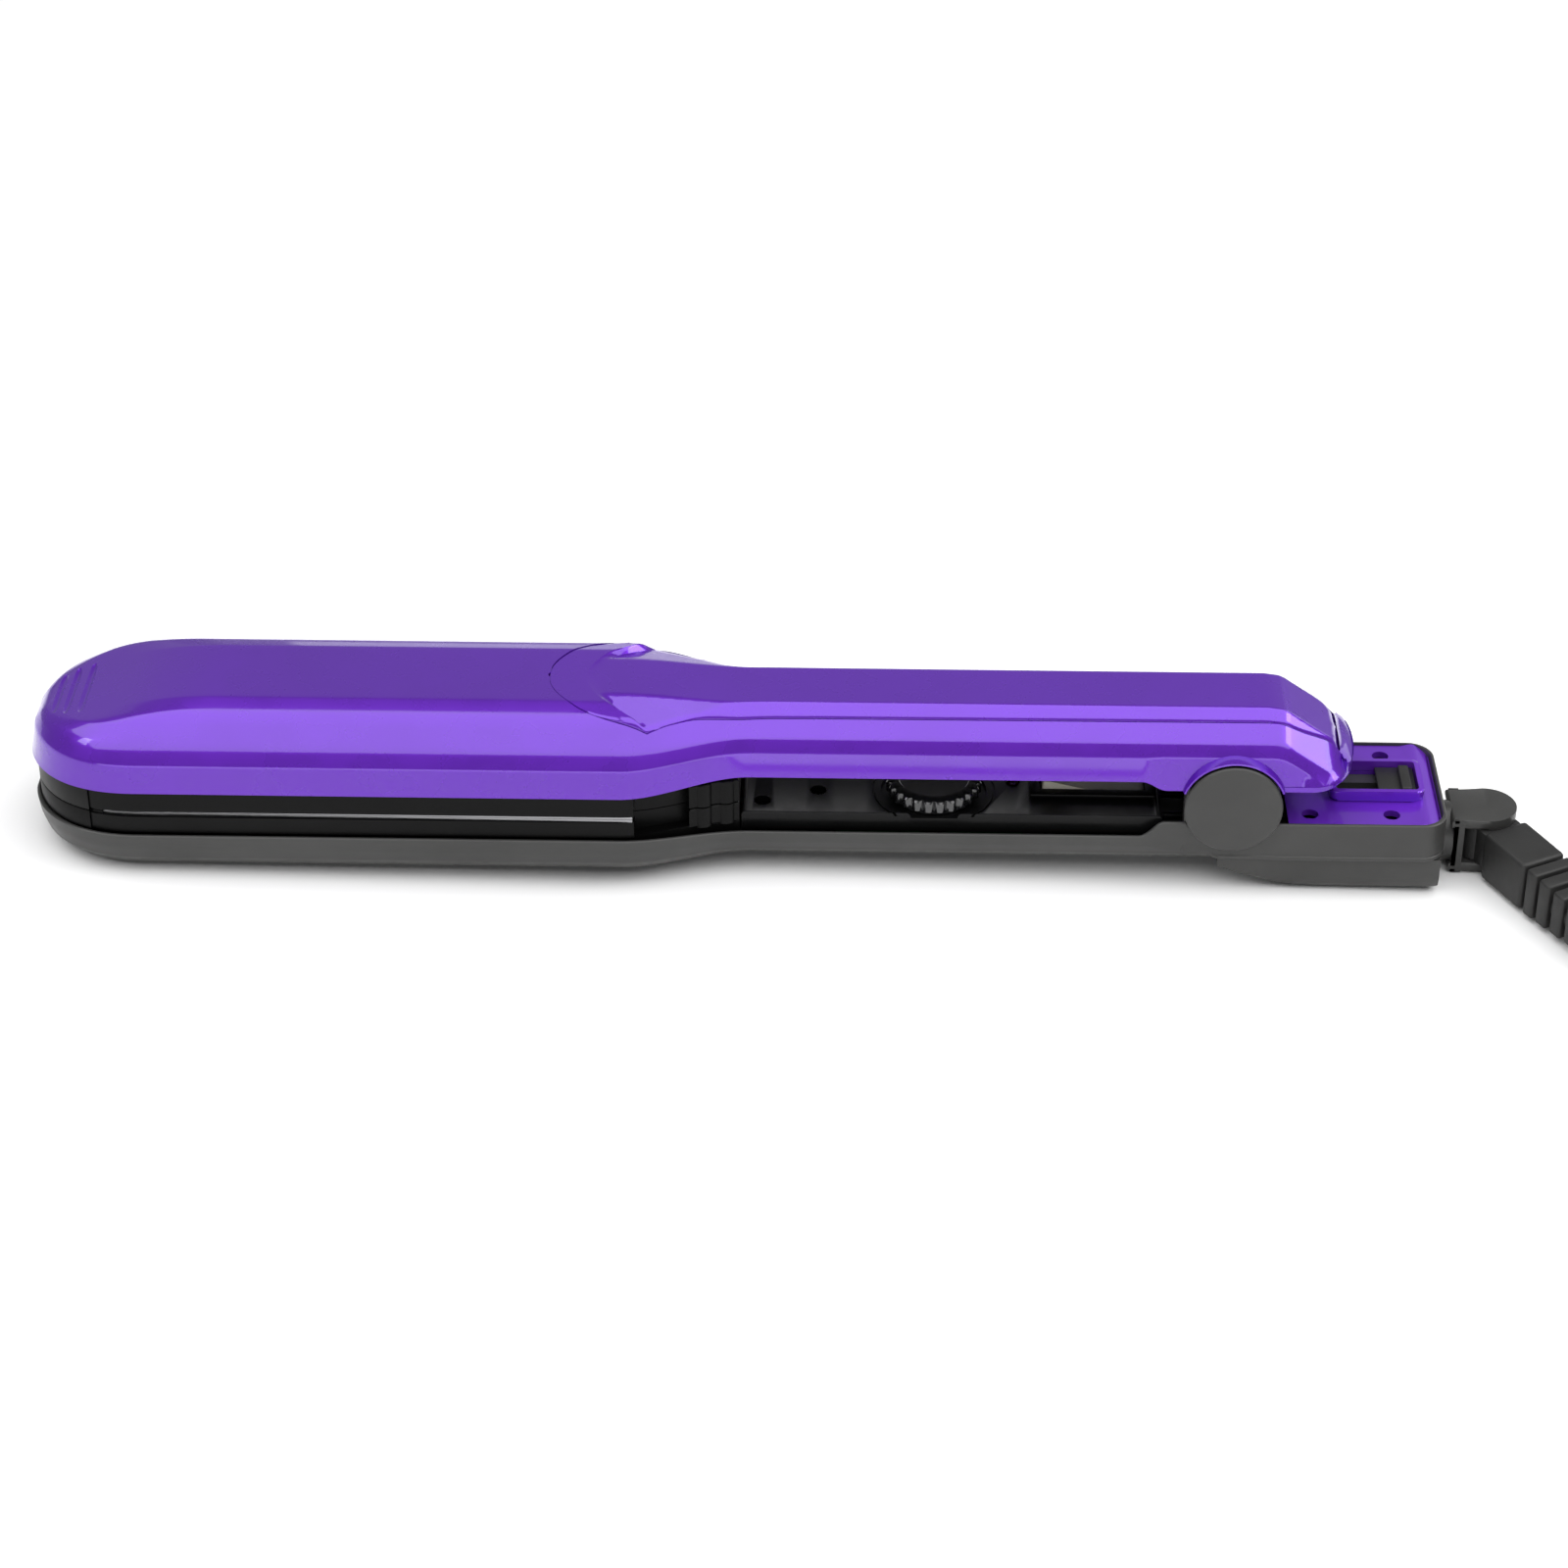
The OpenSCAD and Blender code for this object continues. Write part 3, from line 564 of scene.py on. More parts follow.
LEAD_ROUTE = [
    (166.4, -40.8, 6.5), (168.7, -45.2, 6.4), (171.6, -49.2, 6.1), (175.4, -52.5, 5.6),
    (179.8, -54.8, 5.0), (184.6, -56.2, 4.4), (190, -56.7, 3.9), (196, -56.6, 3.5),
    (203, -56.3, 3.3),
]
HANK_C = Vector((210, -29.75, 0))
HANK_RUN = 112
HANK_TURNS = [(26.25, 3.25), (19.75, 3.25), (19.75, 9.75), (26.25, 9.75), (26.25, 16.25), (19.75, 16.25)]
END_ROUTE = [
    (217, -45.2, 22.6), (226, -43.4, 24.4), (235, -39.8, 25.7), (244, -35.6, 26.4),
    (252, -31.6, 26.5), (261, -29.75, 26.5), (269.8, -29.75, 26.5),
]
TIE_X = (240, 252)
TIE_T = 0.6


def smooth_path(points, gap=2.5):
    """A curve through points, with its own points about gap apart."""
    points = [Vector(p) for p in points]
    ends = [2 * points[0] - points[1], *points, 2 * points[-1] - points[-2]]
    path = []
    for a, b, c, d in zip(ends, ends[1:], ends[2:], ends[3:]):
        for t in steps(0, 1, gap / (c - b).length):
            path.append(0.5 * (2 * b + (c - a) * t + (2 * a - 5 * b + 4 * c - d) * t * t
                               + (3 * b - a - 3 * c + d) * t ** 3))
    return path + [points[-1]]


def hank_path():
    """The wound turns: layer on layer of an outer and an inner lap, each a run, a fold, a run, a fold."""
    path = []
    for k, (r, z) in enumerate(HANK_TURNS):
        next_r, next_z = HANK_TURNS[k + 1] if k + 1 < len(HANK_TURNS) else (15.6, 21.2)
        for x in steps(0, HANK_RUN, 4):
            path.append(HANK_C + Vector((x, -r, z)))
        for i in range(16):
            a = math.pi * i / 16 - math.pi / 2
            path.append(HANK_C + Vector((HANK_RUN + r * math.cos(a), r * math.sin(a), z)))
        for x in steps(0, HANK_RUN, 4):
            path.append(HANK_C + Vector((HANK_RUN - x, r, z)))
        for i in range(16):
            t = share(i / 16, (0, 1))
            a = math.pi * i / 16 + math.pi / 2
            radius = mix(r, next_r, t)
            path.append(HANK_C + Vector((radius * math.cos(a), radius * math.sin(a), mix(z, next_z, t))))
    for p in path:
        over = 1 - min(1, max(0, (abs(p.x - sum(TIE_X) / 2) - 8) / 12))
        p.z += TIE_T * over * over * (3 - 2 * over) * (1 if p.z < 20 else 0)
    return path


lead = smooth_path(LEAD_ROUTE + [(210, -56, 3.25)])[:-1]
cord_path = lead + hank_path() + smooth_path([(210.5, -45.4, 21.3)] + END_ROUTE)
cord_curve = bpy.data.curves.new("cord_lead_line", "CURVE")
cord_curve.dimensions = "3D"
cord_curve.bevel_depth = CORD_D / 2 * MM
cord_curve.bevel_resolution = 6
cord_curve.use_fill_caps = True
spline = cord_curve.splines.new("POLY")
spline.points.add(len(cord_path) - 1)
for point, at in zip(spline.points, cord_path):
    point.co = (*(TABLE @ at), 1)
spline.use_smooth = True
cord_curve.materials.append(SHEATH)
mains_cord = bpy.data.objects.new("mains_cord", cord_curve)
bpy.context.scene.collection.objects.link(mains_cord)
stand_in(mains_cord, "cord_lead", "cord_rubber", "cord", "cord_hank", "cord_end")

# ---- Upper arm ----

# One side of the inlay's outline: the leaf's round front, its flank behind the corner, then the band.
LEAF_CORNER = Vector((-25.3, 15.9, 0))
LEAF_BOW = 12.6
BAND_X = 8
INLAY_END = 112.5
LEAF = smooth_path([(-45.5, 0, 0), (-45.1, 3.4, 0), (-43.4, 7, 0), (-40.4, 10.6, 0), (-36.4, 13.4, 0),
                    (-31.2, 15, 0), LEAF_CORNER], 0.6)
LEAF += smooth_path([LEAF_CORNER, (-20.5, 13.4, 0), (-14.5, 10.9, 0), (-6, 9.4, 0), (BAND_X, 9.1, 0)],
                    0.8)[1:]
LEAF += [Vector((x, mix(9.1, 8.9, (x - BAND_X) / 94), 0)) for x in steps(11, 101, 3)]
LEAF += [Vector((x, mix(8.9, 6.7, share(x, (101, 114))), 0))
         for x in steps(101, INLAY_END, 0.7) + [INLAY_END]]


def nose_slope(x):
    """Height of the flat that falls to the tip of the nose."""
    return 33.5 + 0.245 * (x - NOSE_X)


def upper_height(x, head, grip, drop):
    """Height of a bend of the upper shell, before the tail's fall."""
    flat = mix(head, grip, share(x, WAIST))
    return smooth_min(flat, nose_slope(x), 2.2) - drop * share(x, STEP)


def tail_fall(x):
    """How far the tail's top has fallen, with a soft start."""
    t = x - TAIL_FALL
    return TAIL_SLOPE * (t if t > 2 else (t + 2) ** 2 / 8 if t > -2 else 0)


def tail_notch(x, y):
    """How far the foot is raised in the middle of the tail, to clear the tray's collar when the arms open."""
    return 2.1 * min(1, max(0, (7.9 - abs(y)) / 0.6)) if x > 109 else 0


def tail_power(grip):
    """How square the tail's corners are in plan: rounder at the foot than on the facets above it."""
    return 2 + 2 * min(1, grip / 3)


def tail_arc(grip, tail):
    """One side of the rounded tail in plan, for the ring that is inset by grip."""
    points, p = [], 2 / tail_power(grip)
    for i in range(TAIL_CUTS + 1):
        a = math.radians(mix(0, 89.9 if p < 0.9 else 88.5, i / TAIL_CUTS))
        x = TAIL_ARC + (tail - TAIL_ARC) * math.sin(a) ** p
        points.append((x, (GRIP_HALF - grip) * math.cos(a) ** p))
    return points


def upper_ring(head, grip, z_head, z_grip, tail, drop, lift):
    """A ring of the upper shell: drop is its step down ahead of the hinge, lift its place above the foot.

    Where a ring with a lift would fall below the tail's foot, it lies along the foot instead.
    """
    half = nose_points(head)[:-1]
    for x in SIDE_X + steps(91.5, 99, 1.5) + steps(99.5, TAIL_ARC - 0.5, 0.7):
        half.append((x, half_width(x, GRIP_HALF) - mix(head, grip, share(x, WAIST))))
    half += tail_arc(grip, tail)
    foot = [(x, GRIP_HALF - FOOT_INSET - lift) for x, y in half[:-TAIL_CUTS - 1]]
    foot += tail_arc(FOOT_INSET + lift, FOOT_END - lift)
    points = []
    for (x, y), (fx, fy) in zip(half, foot):
        z = upper_height(x, z_head, z_grip, drop)
        if lift:
            low = z - tail_fall(x)
            bottom = TAIL_FOOT + lift + tail_notch(x, y)
            w = min(1, max(0, (low - bottom) / 1.5))
            z = max(low, bottom)
            x, y = (mix(fx, x, w), mix(fy, y, w)) if x > TAIL_FALL - 2 else (x, y)
        else:
            z += tail_notch(x, y)
        points.append(Vector((x, y, z)))
    return points + [Vector((p.x, -p.y, p.z)) for p in reversed(points)]


def body_top(x, y):
    """Height of the upper shell above a point, between the rings that pass on either side of it."""
    w = share(x, WAIST)
    last = None
    for head, grip, z_head, z_grip, tail in UPPER_BENDS[1:]:
        reach = 1
        if x > TAIL_ARC:
            p = tail_power(grip)
            reach = max(0, 1 - ((x - TAIL_ARC) / (tail - TAIL_ARC)) ** p) ** (1 / p)
        at = (half_width(x, GRIP_HALF) - mix(head, grip, w)) * reach
        z = mix(z_head, z_grip, w)
        if last and abs(y) >= at:
            return max(mix(z, last[1], (abs(y) - at) / max(1e-6, last[0] - at)) - tail_fall(x), TAIL_FOOT)
        last = (at, z)
    return last[1] - tail_fall(x)


def upper_rings():
    """The upper shell's rings: down the inside from its ceiling to its bottom edge, then up the outside."""
    rings = []
    for inset, ceiling, tail in ((2.4, 30, 113), (2.2, 0, 113.2), (0.8, 0, 115)):
        ring = upper_ring(inset, inset, 25.6, 26.8, tail, 2, 0)
        for p in ring:
            p.z = max(p.z + (0.5 if ceiling else 0), ceiling - tail_fall(p.x))
        rings.append(ring)
    chain = rounded([(*b, 2 if b[2] < 27 else 0) for b in UPPER_BENDS], (0.3, 0.16, 0.22, 0.3, 0.15))
    for k, link in enumerate(chain):
        rings.append(upper_ring(*link, 0.02 * k if link[2] > 26.7 else 0))
    return rings


def leaf_pocket(gap):
    """What is cut from the shell for the inlay, wider than the inlay by gap all round."""
    half = [(p.x, p.y + gap) for p in LEAF]
    half[0] = (LEAF[0].x - gap, gap)
    half[-1] = (INLAY_END + gap, half[-1][1])
    return tube_of_rings([both_sides(half, lambda x: min(36.1, body_top(x, 0) - 2.4)), both_sides(half, 45)])


def wall_at(z):
    """Half width of the grip's wall at a height."""
    for below, above in zip(UPPER_BENDS, UPPER_BENDS[1:]):
        if z <= above[3]:
            return GRIP_HALF - mix(below[1], above[1], max(0, (z - below[3]) / (above[3] - below[3])))
    return GRIP_HALF - UPPER_BENDS[-1][1]


def arch_lip(side):
    """The fairing that carries the arm's side out to the edge of the hinge's cap."""
    rings = []
    for a in steps(19, 161, 1.5):
        c, s = math.cos(math.radians(a)), math.sin(math.radians(a))
        far = 10.9
        out = [(ARCH_BORE, 13), (ARCH_BORE, 16.35), (10.3, 16.55), (10.6, 16.45)]
        wall = wall_at(HINGE.z + far * s) - (0.05 if abs(c) < 0.8 else 0.3)
        out += [(far, wall), (far, 13)]
        rings.append([HINGE + Vector((-r * c, side * min(y, 16.55), r * s)) for r, y in out])
    if side > 0:
        rings = [list(reversed(r)) for r in rings]
    return tube_of_rings(rings, "face", "face")


upper = solid("upper_arm_shell", tube_of_rings(upper_rings()), PURPLE, sharp=24)
cut(upper, leaf_pocket(0.34), sharp=24)
for side in (-1, 1):
    bore = turned([(ARCH_BORE, 0), (ARCH_BORE, 10)], (HINGE.x, side * 16.2 - 5, HINGE.z), "y", 144)
    cut(upper, bore, sharp=24)
for x, half in ((-145, 8.2), (-142.3, 9.2), (-139.2, 9.8)):
    groove = [Vector((x, y, nose_slope(x) + 0.55)) for y in steps(-half, half, 1) + [half]]
    taper = [0.35 + 0.65 * math.sqrt(max(0, 1 - (p.y / half) ** 4)) for p in groove]
    cut(upper, swept(groove, taper, 20), sharp=24)
add_to(upper, joined(arch_lip(-1), arch_lip(1)), sharp=24)
stand_in(upper, "upper_arm", "purple_gloss", "upper_shell")


def inlay_height(x, y):
    """Height of the inlay: flush with the shell ahead of the crescent, scooped behind it."""
    top = mix(*PLATEAU, share(x, WAIST)) - 0.15
    body = body_top(x, y) - 0.05
    crescent = LEAF_CORNER.x - LEAF_BOW * (1 - (y / LEAF_CORNER.y) ** 2)
    scoop = share(x, (crescent - 0.2, crescent + 0.5))
    blade = mix(body - 0.1, min(top - 0.31 * max(0, abs(y) - 6.8) - 0.1, body), scoop)
    return mix(blade, body, share(x, (-14, 0))) if x < 0 else body


def inlay_part():
    """The inlay in rows across it, bowed to run along the crescent between the leaf's corners."""
    rows = []
    for p in LEAF:
        w = max(p.y, 0.05)
        inner = max(w - 0.35, w * 0.6)
        ys = [-w] + [inner * (2 * k / 48 - 1) for k in range(49)] + [w]
        ahead = (p.x - LEAF[0].x) / (LEAF_CORNER.x - LEAF[0].x)
        behind = (BAND_X - p.x) / (BAND_X - LEAF_CORNER.x)
        bow = LEAF_BOW * max(0, min(ahead, behind))
        row = []
        for y in ys:
            x = p.x - bow * (1 - (y / w) ** 2)
            row.append(Vector((x, y, inlay_height(x, y))))
        for k in (0, -1):
            row[k].z -= 0.3
        foot = [Vector((q.x, q.y, q.z - 1.3)) for q in (row[-1], row[0])]
        rows.append(row + foot)
    last = [Vector((INLAY_END, p.y, p.z - 1.3)) for p in rows[-1]]
    for p in rows[-1][:-2]:
        p.z -= 0.3
        p.x = INLAY_END
    return tube_of_rings(rows + [last], "face", "face")


stand_in(solid("upper_arm_inlay", inlay_part(), PURPLE_INLAY, sharp=50), "upper_arm", "inlay_purple",
         "upper_inlay")

# ---- Plates and their holders ----


def holder_part(way):
    """The black frame round a heating plate, above the seam for way 1 and below it for -1."""
    def at(z):
        return SEAM_Z + way * z

    barrier = (-17.1, -7.2)
    far = 5.6 if way > 0 else 4.4
    skirt = [(1.25, at(0.65)), (1.25, at(far - 0.2)), (1.5, at(far)), (5.5, at(far)), (5.5, at(1.6)),
             (1.6, at(1.6)), (1.6, at(0.7)), (1.45, at(0.55))]
    nose = [(1.0, at(0.1)), (0.9, at(0.3)), (0.9, at(far - 0.2)), (1.1, at(far))]
    parts = [rail(skirt, PLATE_X[1] + 0.3), slab(nose, -136.9)]
    parts.append(slab([(1.6, at(0.1)), (1.6, at(far))], PLATE_X[0] - 0.1))
    parts.append(slab([(2.3, at(far - 0.1)), (2.3, at(8))], barrier[1]))
    parts.append(deck([(4.5, at(0.1), 0), (4.5, at(far), 0)], PLATE_X[1] + 0.1, barrier[0] + 0.5))
    parts.append(deck([(1.7, at(0.1), 0.3), (1.4, at(0.4), 0), (1.4, at(far - 0.3), 0), (1.7, at(far), 0.3)],
                      *barrier))
    for side in (-1, 1):
        for x in (-14.7, -10):
            y = side * (half_width(x, GRIP_HALF) - 3.2)
            parts.append(turned(disc(2.3, at(0.15), at(far - 0.1), 0.2), (x, y, 0), "z", 40))
    return joined(*parts)


def plate_part(way):
    """A heating plate with crimping ridges along it, narrower where the nose is round."""
    ridge_y = [PLATE_HALF * (2 * i / RIDGES - 1) for i in range(RIDGES + 1)]
    ridge_z = [0] + [(-1) ** (i + 1) for i in range(1, RIDGES)] + [0]
    face = [(y, SEAM_Z + way * 0.05 + z) for y, z in zip(ridge_y, ridge_z)]
    outline = rounded(face, [0.22] * (RIDGES - 1), 4)
    back = [(PLATE_HALF, 1.2), (20.8, 1.45), (17, 1.45), (17, 3.65)]
    back += [(-y, z) for y, z in reversed(back)]
    outline += [(y, SEAM_Z + way * z) for y, z in back]
    rings = []
    for x in (PLATE_X[0], -133.4, -132.5, -131.5, -130.3, -129, -127, PLATE_X[1]):
        c = max(0, (NOSE_X + NOSE_LEN - x) / NOSE_LEN)
        half = HEAD_HALF * math.sin(math.acos(c ** (1 / NOSE_POWER))) ** NOSE_POWER
        k = min(1, (half - 2.1) / PLATE_HALF) if x < -126 else 1
        rings.append([Vector((x, y * k, z)) for y, z in outline])
    return tube_of_rings(rings, "face", "face")


for name, way, body in (("upper", 1, "upper_arm"), ("lower", -1, "lower_arm")):
    stand_in(solid(name + "_plate_frame", holder_part(way), BLACK_RAIL), body, "black_plastic",
             name + "_plate_holder")
    stand_in(solid(name + "_heating_plate", plate_part(way), ALUMINIUM, sharp=25), body, "plate_metal",
             name + "_plate")

# ---- Screws ----


def pan_screws(name, places, seat, up, radius, height, body, *nodes):
    """Pan heads with a crossed driving slot, over round shanks that go the other way from up."""
    heads = []
    profile = [(0.8, -5), (1.05, -4.6), (1.05, 0), (radius, 0), (radius, height * 0.45),
               (radius * 0.9, height * 0.75), (radius * 0.6, height)]
    for x, y in places:
        heads.append(turned([(r, up * h) for r, h in profile], (x, y, seat), "z", 32))
    thing = solid(name, joined(*heads), STEEL if up < 0 else DARK_STEEL)
    low, high = sorted((seat + up * height * 0.35, seat + up * 9))
    for x, y in places:
        for along, across in ((0.62, 0.11), (0.11, 0.62)):
            lo = (x - radius * along, y - radius * across, low)
            hi = (x + radius * along, y + radius * across, high)
            cut(thing, block(lo, hi, 0))
    stand_in(thing, body, "steel", *nodes)


def screw_wells(thing, places, radius, z0, z1):
    for x, y in places:
        cut(thing, turned([(radius, 0), (radius, z1 - z0)], (x, y, z0), "z", 40))


pan_screws("cover_screws", COVER_SCREWS, COVER_SEAT, -1, 2, 1, "upper_arm", "upper_cover_screws")
pan_screws("rear_screws", REAR_SCREWS, REAR_SEAT, -1, 2, 1, "lower_arm", "rear_cover_screws")
pan_screws("panel_screws", PANEL_SCREWS, PANEL_SEAT, 1, 1.5, 0.6, "lower_arm", "lower_panel_screws")
pan_screws("tray_screws", TRAY_SCREWS, TRAY_SEAT, 1, 1.6, 0.6, "lower_arm", "tail_tray_screws")

# ---- Inside of the upper handle ----

cover = [(2.7, 27.2, 0.3), (2.4, 27.5, 0), (2.4, 29.2, 0)]
tongue = [(0.3, 27.2, 0.3), (0, 27.5, 0), (0, 29.2, 0)]
LUG_R = 7
LUG_THICK = 7.3
lug = [(LUG_R * math.cos(math.radians(a)), LUG_R * math.sin(math.radians(a))) for a in range(-180, 1, 10)]
lug = plate_of(lug + [(LUG_R, 6.5), (-LUG_R, 6.5)], 0, LUG_THICK, 0.25)
lugs = []
for y in (-10.9, 3.6):
    place = Matrix.Translation((HINGE.x, y + LUG_THICK, HINGE.z))
    lugs.append(moved(lug, place @ Matrix.Rotation(math.pi / 2, 4, "X")))
liner = joined(deck(cover, PANEL_X[0], 80.4), deck(tongue, 79.4, 99.4, 10.9), *lugs)
inner_cover = solid("upper_handle_liner", liner, BLACK)
screw_wells(inner_cover, COVER_SCREWS, 2.1, COVER_SEAT - 4, COVER_SEAT)
stand_in(inner_cover, "upper_arm", "black_plastic", "upper_inner_cover")

# ---- Lower arm ----

# The bends of the lower shell's outside, from its floor up: the inset at the head and at the handle, the
# height at the head, at the handle and at the rear, where it steps up to the rear, and the rear's inset.
LOWER_BENDS = [
    (7.5, 7, 5.5, 5.7, 8.35, 87.4, 89, 1.2), (4, 3.6, 6.6, 6.6, 8.5, 87.4, 89, 0.3),
    (1.4, 1.3, 9.4, 8.8, 8.9, 87.4, 89, -0.25), (1.2, 1.1, 9.8, 9.3, 9.5, 87.4, 89, -0.25),
    (1.1, 1, 10.1, 9.6, 9.7, 87.4, 89, 0.05), (0.3, 0.2, 12.6, 11.5, 13.4, 73, 78, 0),
    (0, 0, 15.5, 13.7, 17.2, 73, 78, 0),
]


def lower_ring(head, grip, z_head, z_grip, z_rear, step0, step1, rear, end=REAR_X):
    """A ring of the lower shell, whose tail ends at x = end."""
    half = [(x, y + (grip - rear) * share(x, FLOOR_STEP)) for x, y in lower_outline(head, grip, end)]
    return both_sides(half, lambda x: mix(mix(z_head, z_grip, share(x, WAIST)), z_rear,
                                          share(x, (step0, step1))))


lower_rings = [lower_ring(*b) for b in rounded(LOWER_BENDS, (0.3, 0.3, 0.2, 0.2, 0.3))[:-1]]
# The rim with its step, then the hollow.
lower_rings += [
    lower_ring(0, 0, 15.3, 13.5, 17, 73, 78, 0), lower_ring(0.2, 0.2, 15.5, 13.7, 17.2, 73, 78, 0.2, 134.6),
    lower_ring(0.6, 0.6, 15.5, 13.7, 17.2, 73, 78, 0.6, 134.2),
    lower_ring(0.75, 0.75, 14.7, 12.9, 15.6, 73, 78, 0.75, 134.05),
    lower_ring(1.6, 1.6, 14.6, 12.8, 15.3, 73, 78, 1.6, 133.2),
    lower_ring(1.8, 1.8, 11, 11, 12.5, 73, 78, 1.8, 133),
    lower_ring(4.8, 4.8, 7.5, 7.5, 10, 84, 88, 3, 132),
]


def on_table(part):
    """The same, with what would reach below the table flattened onto it."""
    down = LAID.inverted()
    points = []
    for p in part[0]:
        world = LAID @ Vector(p)
        world.z = max(world.z, 0)
        points.append(down @ world)
    return points, part[1]


EAR_R = 9.6
EAR_THICK = 3.3
ears = []
for y in (11.65, -14.95):
    ears.append(turned(disc(EAR_R, 0, EAR_THICK, 0.2), (HINGE.x, y, HINGE.z), "y", 96))
    ears.append(block((HINGE.x - EAR_R, y, 9.8), (HINGE.x + EAR_R, y + EAR_THICK, HINGE.z), 0.2))
lower = solid("lower_arm_shell", on_table(tube_of_rings(lower_rings)), CHARCOAL, sharp=40)
for side in (-1, 1):
    cut(lower, turned([(10.15, 0), (10.15, 10)], (HINGE.x, side * 19.95 - 5, HINGE.z), "y", 96))
neck_bore = turned([(5.25, 0), (5.25, 27)], (113, 0, NECK_Z), "x", 64)
cut(lower, neck_bore)
stand_in(lower, "lower_arm", "charcoal_plastic", "lower_shell")
stand_in(solid("hinge_ears", joined(*ears), CHARCOAL), "lower_arm", "charcoal_plastic")


def rear_cover_part():
    """The bulge under the tail: its underside falls from the shell's floor to the table."""
    half, roof = 14.6, 8.3
    across = [mix(-half, half, i / 48) for i in range(49)]
    rings = []
    for x in steps(89.1, 119, 1.5) + steps(119, 132, 3) + [132.4, 132.8, 133.2, 133.6, 134]:
        t = min(1, (x - 89.1) / 29.9)
        low = 6.6 * (1 - t) ** 2.2 + max(0, x - 132.6) * 0.8
        ring = []
        for y in across:
            out = min(4, max(0, abs(y) - 10.6))
            edge = 4 - math.sqrt(16 - out * out)
            ring.append(Vector((x, y, min(roof, -smooth_min(-low, -edge, 1)))))
        rings.append(ring + [Vector((x, half, roof)), Vector((x, -half, roof))])
    return on_table(tube_of_rings(rings, "face", "face"))


rear = solid("tail_underside_cover", rear_cover_part(), CHARCOAL)
screw_wells(rear, REAR_SCREWS, 2.1, REAR_SEAT - 6, REAR_SEAT)
cut(rear, neck_bore)
stand_in(rear, "lower_arm", "charcoal_plastic", "rear_cover")

# ---- Controls on the lower handle ----

rim = [(2.6, 12.8, 0.2), (2.5, 13, 0), (2.5, 16.2, 0), (2.6, 16.6, 0.1), (2.85, PANEL_TOP, 0.35),
       (3.15, 16.78, 0.65), (3.4, 16.55, 0.9), (3.5, 16.5, 1)]
panel = solid("control_panel", deck(rim, *PANEL_X), BLACK, sharp=40)
cut(panel, turned([(10.7, 0), (10.7, 6)], (*DIAL_AT, DIAL_SEAT), "z", 96))
cut(panel, turned([(2.6, 0), (2.6, 8)], (*DIAL_AT, 11), "z", 40))
cut(panel, ring_of([(12.5, 16.25), (12.5, 18), (12.1, 18), (12.1, 16.25)], (*DIAL_AT, 0), "z", 96))
cut(panel, block((52.2, -5.3, 11), (75.8, 5.3, 20), 0))
cut(panel, turned([(1.5, 0), (1.5, 8)], (LENS_X, 0, 12), "z", 40))
screw_wells(panel, PANEL_SCREWS, 1.7, PANEL_SEAT, PANEL_SEAT + 5)
stand_in(panel, "lower_arm", "black_plastic", "lower_inner_panel")


def dial_part():
    """The dial: rings of (radius, height, how deep the 24 knurls are), and its raised mark."""
    x, y = DIAL_AT
    rings = []
    levels = ((8.4, 16.1, 0), (8.4, 16.7, 0), (9.2, 16.9, 0.5), (9.5, 17.2, 1), (9.5, 19.1, 1),
              (9.25, 19.5, 0.7), (8.6, 19.7, 0.1), (7.3, 19.7, 0), (7, 19.4, 0), (2.5, 19.2, 0))
    for radius, z, knurl in levels:
        ring = []
        for i in range(288):
            a = math.tau * i / 288
            r = radius - 0.75 * knurl * (1 - abs(math.sin(12 * a))) ** 1.2 + 0.2 * knurl
            ring.append(Vector((x + r * math.cos(a), y + r * math.sin(a), z)))
        rings.append(ring)
    mark = block((x - 0.4, y - 6.6, 19.3), (x + 0.4, y - 3.2, 19.6), 0.1)
    return joined(tube_of_rings(rings, "face", "face"), mark)


dial = solid("temperature_dial", dial_part(), DIAL_BLACK, sharp=30)
cut(dial, turned([(2.05, 0), (2.05, 2.4)], (*DIAL_AT, DIAL_SEAT), "z", 40))
stand_in(dial, "dial", "clear_knob", "dial_knob")

flange = block((51.3, -6.2, PANEL_TOP - 0.2), (76.7, 6.2, 17.5), 0.3)
switch = solid("switch_housing", joined(flange, block((52.4, -5.1, 9.6), (75.6, 5.1, 17), 0.1)), BLACK)
cut(switch, block((53.3, -4.1, 10.6), (74.7, 4.1, 20), 0))
stand_in(switch, "lower_arm", "black_plastic", "switch_body")

rocker_side = rounded([(-10.3, 0), (-10.3, 2.9), (0, 1.7), (10.3, 2.9), (10.3, 0), (4, -2.4), (-4, -2.4),
                       (-10.3, 0), (-10.3, 1)], (0.2, 0.35, 0.12, 0.1, 0.1, 0.1, 0.1), 4)[1:-1]
tilt = Matrix.Translation((64, 4, 15.4)) @ Matrix.Rotation(math.radians(7), 4, "Y")
rocker_part = moved(plate_of(rocker_side, 0, 8, 0.25), tilt @ Matrix.Rotation(math.pi / 2, 4, "X"))
stand_in(solid("power_switch_rocker", rocker_part, ROCKER), "rocker", "rocker_grey", "power_rocker")

lens = [(2, 13), (2, 14.4), (1.4, 14.4), (1.4, 16.7), (1.2, 17), (0.5, 17.15)]
stand_in(solid("power_lens", turned(lens, (LENS_X, 0, 0), "z", 32), LENS), "lower_arm", "lens_red",
         "indicator_lens")

# ---- Hinge ----

for side, node in ((-1, "front_hinge_cap"), (1, "back_hinge_cap")):
    cap = [(9.2, 0), (9.3, 1.2), (9.8, 1.5), (9.8, 1.75), (9.55, 2.0), (9.2, 2.08), (8.7, 2.1)]
    part = turned([(r, side * h) for r, h in cap], (HINGE.x, side * 15, HINGE.z), "y", 128)
    stand_in(solid(node + "_disc", part, CHARCOAL, sharp=20), "lower_arm", "charcoal_plastic", node)

# ---- Tail ----

